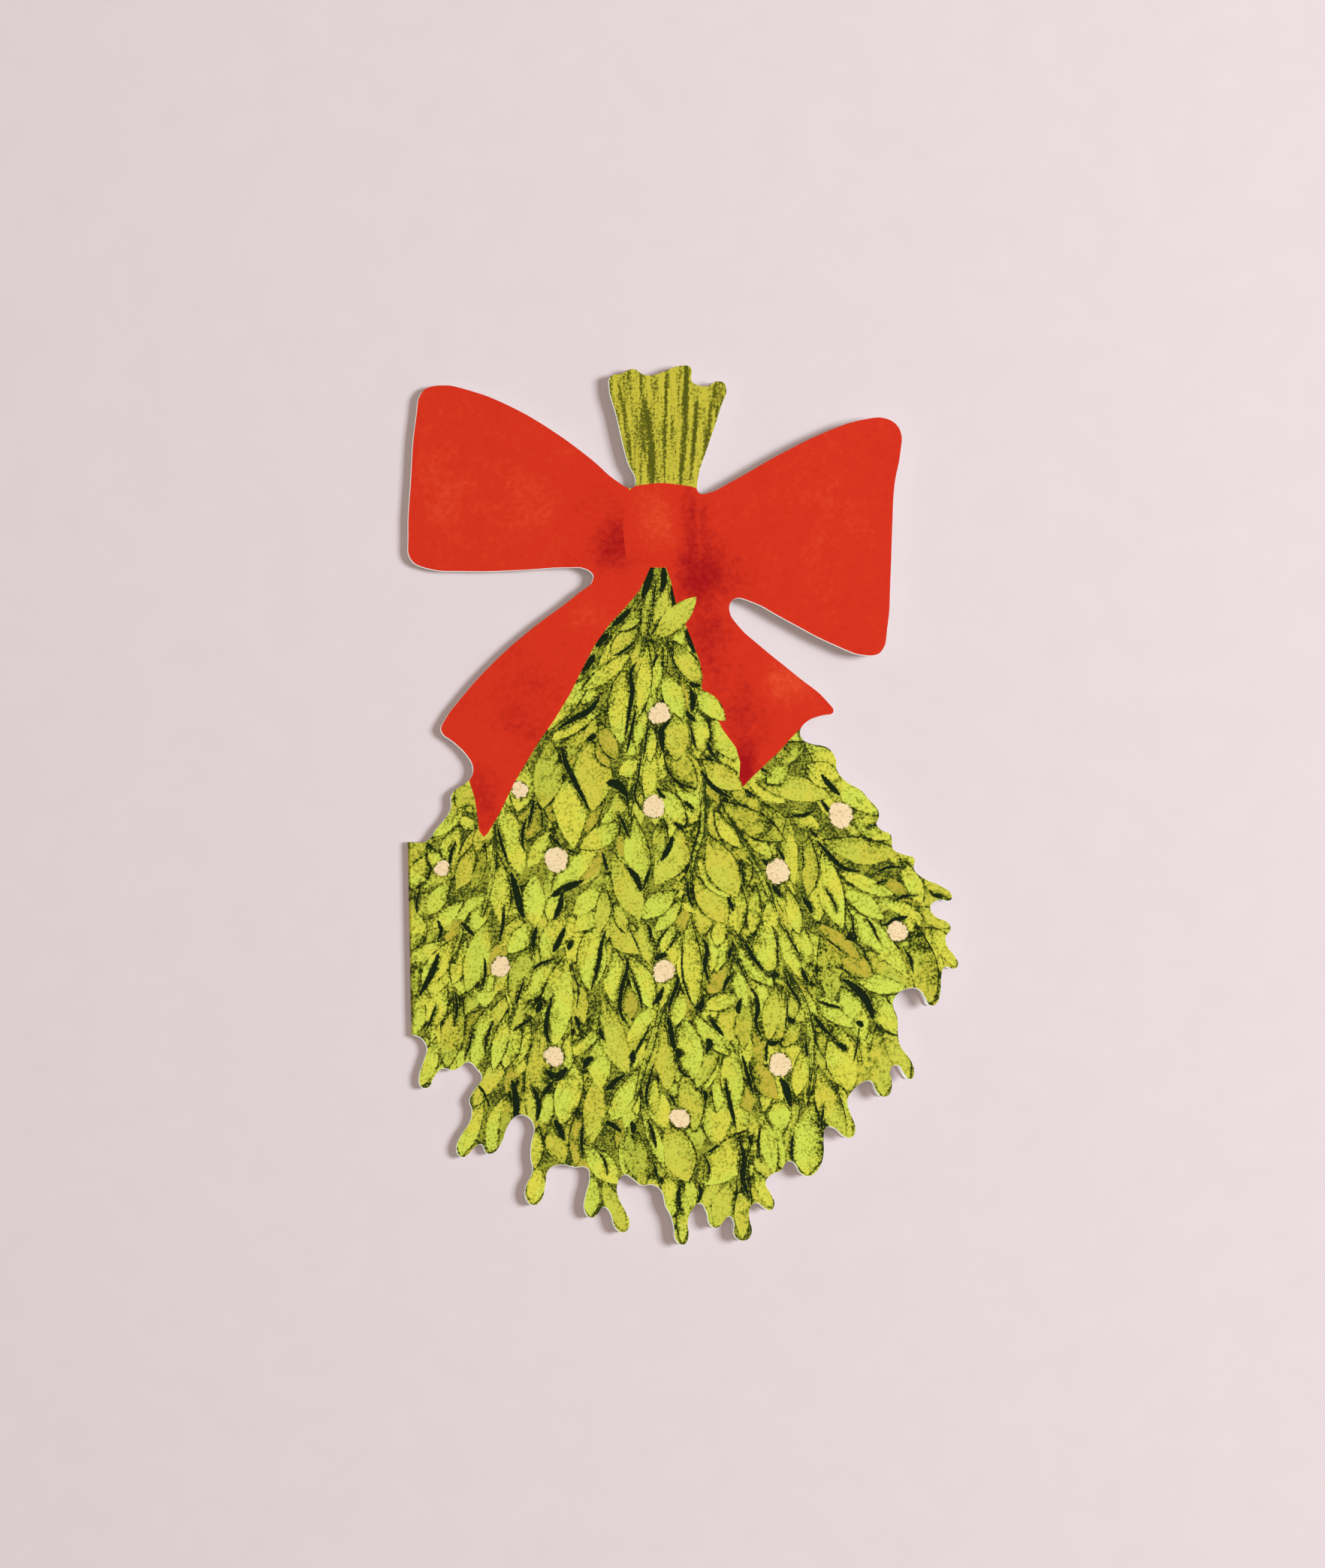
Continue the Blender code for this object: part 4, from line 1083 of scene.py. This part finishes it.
def new_group(name, inputs, outputs):
    group = bpy.data.node_groups.new(name, "ShaderNodeTree")
    for title, kind, value in inputs:
        socket = group.interface.new_socket(title, in_out="INPUT", socket_type=kind)
        if value is not None:
            socket.default_value = value
    for title, kind in outputs:
        group.interface.new_socket(title, in_out="OUTPUT", socket_type=kind)
    return group, group.nodes.new("NodeGroupInput").outputs, group.nodes.new("NodeGroupOutput").inputs


def node(tree, kind, inputs, output=0, **settings):
    """Adds a shader node, fills or links its inputs, and returns one of its outputs."""
    made = tree.nodes.new("ShaderNode" + kind)
    for name, value in settings.items():
        setattr(made, name, value)
    for key, value in inputs.items():
        if isinstance(value, bpy.types.NodeSocket):
            tree.links.new(value, made.inputs[key])
        else:
            made.inputs[key].default_value = value
    return made.outputs[output]


def calc(tree, operation, first, second=0.0, clamp=False):
    return node(tree, "Math", {0: first, 1: second}, operation=operation, use_clamp=clamp)


def plus(tree, first, second, clamp=False):
    return calc(tree, "ADD", first, second, clamp)


def minus(tree, first, second):
    return calc(tree, "SUBTRACT", first, second)


def times(tree, first, second):
    return calc(tree, "MULTIPLY", first, second)


def ramp(tree, value, low, high, at_low, at_high):
    """Smoothly from one number to another as the value goes from low to high."""
    inputs = {"Value": value, "From Min": low, "From Max": high, "To Min": at_low, "To Max": at_high}
    return node(tree, "MapRange", inputs, interpolation_type="SMOOTHSTEP")


def split(tree, vector):
    """The three numbers of a vector."""
    return node(tree, "SeparateXYZ", {0: vector}).node.outputs


def mixed(tree, share, first, second, blend="MIX"):
    """Mixes two colours; each is a socket or a colour."""
    made = tree.nodes.new("ShaderNodeMix")
    made.data_type, made.blend_type = "RGBA", blend
    for key, value in ((0, share), (6, first), (7, second)):
        if isinstance(value, bpy.types.NodeSocket):
            tree.links.new(value, made.inputs[key])
        else:
            made.inputs[key].default_value = value
    return made.outputs[2]


def noise(tree, size, detail=2.0, roughness=0.6):
    """Noise whose features are about this many millimetres wide."""
    place = node(tree, "TexCoord", {}, "Object")
    inputs = {"Vector": place, "Scale": 1 / (size * MM), "Detail": detail, "Roughness": roughness}
    return node(tree, "TexNoise", inputs, "Fac")


def streaks(tree, size, length):
    """Noise drawn out along Y, as pencil strokes along a stalk are."""
    squeezed = {"Vector": node(tree, "TexCoord", {}, "Object"), "Scale": (1, size / length, 1)}
    place = node(tree, "Mapping", squeezed)
    return node(tree, "TexNoise", {"Vector": place, "Scale": 1 / (size * MM), "Detail": 3.0}, "Fac")


def use_group(tree, group, output=0, **inputs):
    made = tree.nodes.new("ShaderNodeGroup")
    made.node_tree = group
    for name, value in inputs.items():
        socket = made.inputs[name.replace("_", " ")]
        if isinstance(value, bpy.types.NodeSocket):
            tree.links.new(value, socket)
        else:
            socket.default_value = value
    return made.outputs[output]


def make_pencil_grain():
    """Darkness in, dots out: even tone where the pencil is pressed, broken dots where it is not."""
    group, given, result = new_group(
        "pencil_grain", [("Darkness", "NodeSocketFloat", 0.5), ("Softness", "NodeSocketFloat", 0.3)],
        [("Mask", "NodeSocketFloat")],
    )
    paper = ramp(group, noise(group, 0.5, 3.0, 0.75), 0.34, 0.66, 0, 1)
    pressed = calc(group, "DIVIDE", minus(group, given["Darkness"], paper), given["Softness"])
    dots = times(group, plus(group, pressed, 0.5, clamp=True), 0.88)
    even = times(group, given["Darkness"], 0.12)
    group.links.new(plus(group, dots, even, clamp=True), result["Mask"])
    return group


def make_leaf_shading():
    """How dark a point of a leaf is: dark rim, shaded side, dark base, and the shade of leaves above."""
    group, given, result = new_group(
        "leaf_shading",
        [("Place", "NodeSocketVector", None), ("Shade", "NodeSocketFloat", 0.0),
         ("Side", "NodeSocketFloat", 0.0)],
        [("Darkness", "NodeSocketFloat")],
    )
    share, across, half = split(group, given["Place"])
    distance = calc(group, "ABSOLUTE", across)
    wobble = times(group, minus(group, noise(group, 1.1), 0.5), 0.5)
    edge = plus(group, minus(group, half, distance), wobble)
    lean = calc(group, "DIVIDE", across, calc(group, "MAXIMUM", half, 0.1))
    lean = times(group, lean, given["Side"])
    pressure = ramp(group, noise(group, 4.2), 0.36, 0.64, 0.15, 0.95)
    pressure = plus(group, pressure, times(group, lean, 0.35))
    rim = times(group, ramp(group, edge, -0.05, 0.4, 1.1, 0.0), pressure)
    deep = ramp(group, noise(group, 5.5), 0.38, 0.62, 0.12, 1.0)
    shade = times(group, calc(group, "POWER", given["Shade"], 1.9), deep)
    side = times(group, calc(group, "POWER", calc(group, "MAXIMUM", lean, 0.0), 1.2), 0.68)
    base = ramp(group, share, 0.0, 0.5, 0.48, 0.0)
    rib = ramp(group, distance, 0.03, 0.2, 0.2, 0.0)
    total = calc(group, "MAXIMUM", rim, shade)
    for term in (side, base, rib):
        total = plus(group, total, term)
    group.links.new(calc(group, "MINIMUM", total, 1.2), result["Darkness"])
    return group


def make_paper_tooth():
    """The fine felt surface of uncoated board, as a normal."""
    group, given, result = new_group(
        "paper_tooth", [("Strength", "NodeSocketFloat", 0.3)], [("Normal", "NodeSocketVector")]
    )
    height = plus(group, noise(group, 0.25, 3.0), times(group, noise(group, 1.6), 0.8))
    bump = {"Strength": given["Strength"], "Distance": 0.03 * MM, "Height": height}
    group.links.new(node(group, "Bump", bump), result["Normal"])
    return group


pencil_grain, leaf_shading, paper_tooth = make_pencil_grain(), make_leaf_shading(), make_paper_tooth()
print("node groups:", pencil_grain.name, leaf_shading.name, paper_tooth.name)

# %% [markdown]
# ## The finishes
# Each ink is a material of its own, because each is worked differently: leaves in layers of
# pencil, the ribbon in a mottled wash, berries in a pale wash with a few specks. They all end in
# the same rough, unpolished board, which has hardly any gloss.

# %% Finishes


def read(tree, name, output="Fac"):
    """A number stored on the sheet's corners, or a vector."""
    return node(tree, "Attribute", {}, output, attribute_name=name, attribute_type="GEOMETRY")


def read_three(tree, name):
    return split(tree, read(tree, name, "Vector"))


def from_edge(tree):
    """How far inside its own shape's outline a point lies, mm."""
    _, across, half = read_three(tree, "place")
    return minus(tree, half, calc(tree, "ABSOLUTE", across))


def shaded(tree, side):
    """The darkness of a leaf or a twig."""
    place, shade = read(tree, "place", "Vector"), read(tree, "shade")
    return use_group(tree, leaf_shading, Place=place, Shade=shade, Side=side)


def pencilled(tree, darkness, softness):
    return use_group(tree, pencil_grain, Darkness=darkness, Softness=softness)


def finish_of(name, colour_of, roughness=0.62, tooth=0.25):
    """A material: a colour worked out by nodes, on rough board with hardly any gloss."""
    material = bpy.data.materials.new(name)
    material.use_nodes = True
    tree = material.node_tree
    shader = tree.nodes["Principled BSDF"]
    shader.inputs["Roughness"].default_value = roughness
    shader.inputs["Specular IOR Level"].default_value = 0.08
    tree.links.new(colour_of(tree), shader.inputs["Base Color"])
    tree.links.new(use_group(tree, paper_tooth, Strength=tooth), shader.inputs["Normal"])
    return material


LEAF_GREEN, LEAF_YELLOW, LEAF_OCHRE = srgb(214, 226, 84), srgb(226, 218, 76), srgb(206, 180, 62)
LEAF_DIMMING = srgb(196, 190, 170)  # what a dull leaf keeps of its colour
LEAF_SHADOW, LEAF_DEEP = srgb(142, 148, 36), srgb(20, 31, 4)
INK_BLACK = srgb(16, 30, 8)


def leaf_colour(tree):
    """Two layers of pencil, olive and nearly black, over a light green that turns yellow or ochre."""
    light, ochre, grain = read_three(tree, "ink")
    patches = ramp(tree, noise(tree, 2.6), 0.35, 0.7, 0.0, 1.0)
    texture = times(tree, grain, plus(tree, times(tree, patches, 0.7), 0.15))
    darkness = plus(tree, shaded(tree, read(tree, "side")), texture)
    lit = mixed(tree, ramp(tree, noise(tree, 9.0), 0.4, 0.62, 0.0, 1.0), LEAF_GREEN, LEAF_YELLOW)
    lit = mixed(tree, ochre, lit, LEAF_OCHRE)
    lit = mixed(tree, light, mixed(tree, 1.0, lit, LEAF_DIMMING, "MULTIPLY"), lit)
    olive, deep = pencilled(tree, darkness, 0.45), pencilled(tree, minus(tree, darkness, 0.46), 0.35)
    return mixed(tree, deep, mixed(tree, olive, lit, LEAF_SHADOW), LEAF_DEEP)


def ground_colour(tree):
    """Leaves too deep in the bunch to be drawn: a mid green, scribbled over."""
    patches = ramp(tree, noise(tree, 3.2), 0.35, 0.65, 0.3, 0.75)
    spots = pencilled(tree, calc(tree, "MAXIMUM", patches, read(tree, "shade")), 0.45)
    return mixed(tree, spots, srgb(162, 164, 48), srgb(40, 52, 10))


def gap_colour(tree):
    """A stroke of black pencil, solid in the middle and broken up at its rim."""
    cover = pencilled(tree, ramp(tree, from_edge(tree), -0.05, 0.3, 0.4, 1.15), 0.4)
    return mixed(tree, cover, srgb(176, 180, 56), INK_BLACK)


def twig_colour(tree):
    """A round twig: shaded along one side, and a little patchy."""
    darkness = plus(tree, shaded(tree, 0.6), ramp(tree, noise(tree, 2.0), 0.4, 0.65, 0.1, 0.5))
    return mixed(tree, pencilled(tree, darkness, 0.4), srgb(198, 202, 66), srgb(44, 56, 10))


def berry_colour(tree):
    """A pale wash with tan specks, and a ragged rim where the green runs into it."""
    specks = ramp(tree, noise(tree, 0.45, 3.0), 0.5, 0.64, 0.0, 0.6)
    skin = mixed(tree, specks, srgb(249, 222, 176), srgb(222, 176, 126))
    wobble = times(tree, minus(tree, noise(tree, 0.9), 0.5), 1.8)
    rim = ramp(tree, plus(tree, from_edge(tree), wobble), 0.0, 0.3, 0.95, 0.0)
    return mixed(tree, pencilled(tree, rim, 0.3), skin, srgb(96, 100, 26))


def ribbon_colour(tree):
    """A mottled red wash, from crimson through red to orange as its tone rises."""
    mottle = plus(tree, noise(tree, 1.0, 4.0, 0.65), times(tree, noise(tree, 4.5), 0.6))
    tone = plus(tree, read_three(tree, "ink")[0], times(tree, minus(tree, mottle, 0.8), 0.55))
    dark = mixed(tree, ramp(tree, tone, 0.0, 0.5, 0.0, 1.0), srgb(166, 12, 16), srgb(214, 48, 24))
    return mixed(tree, ramp(tree, tone, 0.5, 1.0, 0.0, 1.0), dark, srgb(234, 84, 44))


def stem_colour(tree):
    """Streaked stalks with dark rims, and the broad shadows between them."""
    edge, stalk = from_edge(tree), read_three(tree, "ink")[0]
    on_stalk = times(tree, ramp(tree, edge, 0.0, 0.7, 0.4, 0.0), stalk)
    in_shadow = times(tree, ramp(tree, edge, 0.0, 0.7, 0.1, 0.75), minus(tree, 1.0, stalk))
    mottle = times(tree, minus(tree, streaks(tree, 1.0, 10.0), 0.44), 2.6)
    darkness = plus(tree, plus(tree, on_stalk, in_shadow), mottle)
    return mixed(tree, pencilled(tree, darkness, 0.6), srgb(202, 190, 60), srgb(86, 88, 14))


def board_colour(tree):
    fibre = ramp(tree, noise(tree, 1.4, 4.0, 0.7), 0.3, 0.75, 0.0, 1.0)
    return mixed(tree, fibre, srgb(238, 234, 228), srgb(228, 223, 216))


def table_colour(tree):
    return mixed(tree, noise(tree, 9.0), srgb(230, 215, 216), srgb(225, 209, 210))


WORKED = {
    "ground": ("green_ground", ground_colour), "gap": ("black_pencil", gap_colour),
    "leaf": ("leaf_pencil", leaf_colour), "twig": ("twig_pencil", twig_colour),
    "berry": ("berry_wash", berry_colour), "ribbon": ("ribbon_wash", ribbon_colour),
    "stem": ("stem_pencil", stem_colour), "board": ("bare_board", board_colour),
}
for finish in FINISHES:
    card.data.materials.append(finish_of(*WORKED[finish]))
table.data.materials.append(finish_of("pale_table", table_colour, roughness=0.8, tooth=0.1))
print("finishes:", ", ".join(material.name for material in card.data.materials))

# %% [markdown]
# ## Smoothing the fold and hiding the parts
# The card is one piece, so it is rolled round its hinge rather than cut there. It is shaded smooth
# across the fold, its place is written into its points, and the parts it was laid out from are hidden.

# %% Smooth the fold and hide the parts
take(card)
bpy.ops.object.shade_smooth_by_angle(angle=math.radians(30))
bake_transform(card)
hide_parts("back_panel", "front_panel", "fold_strip")
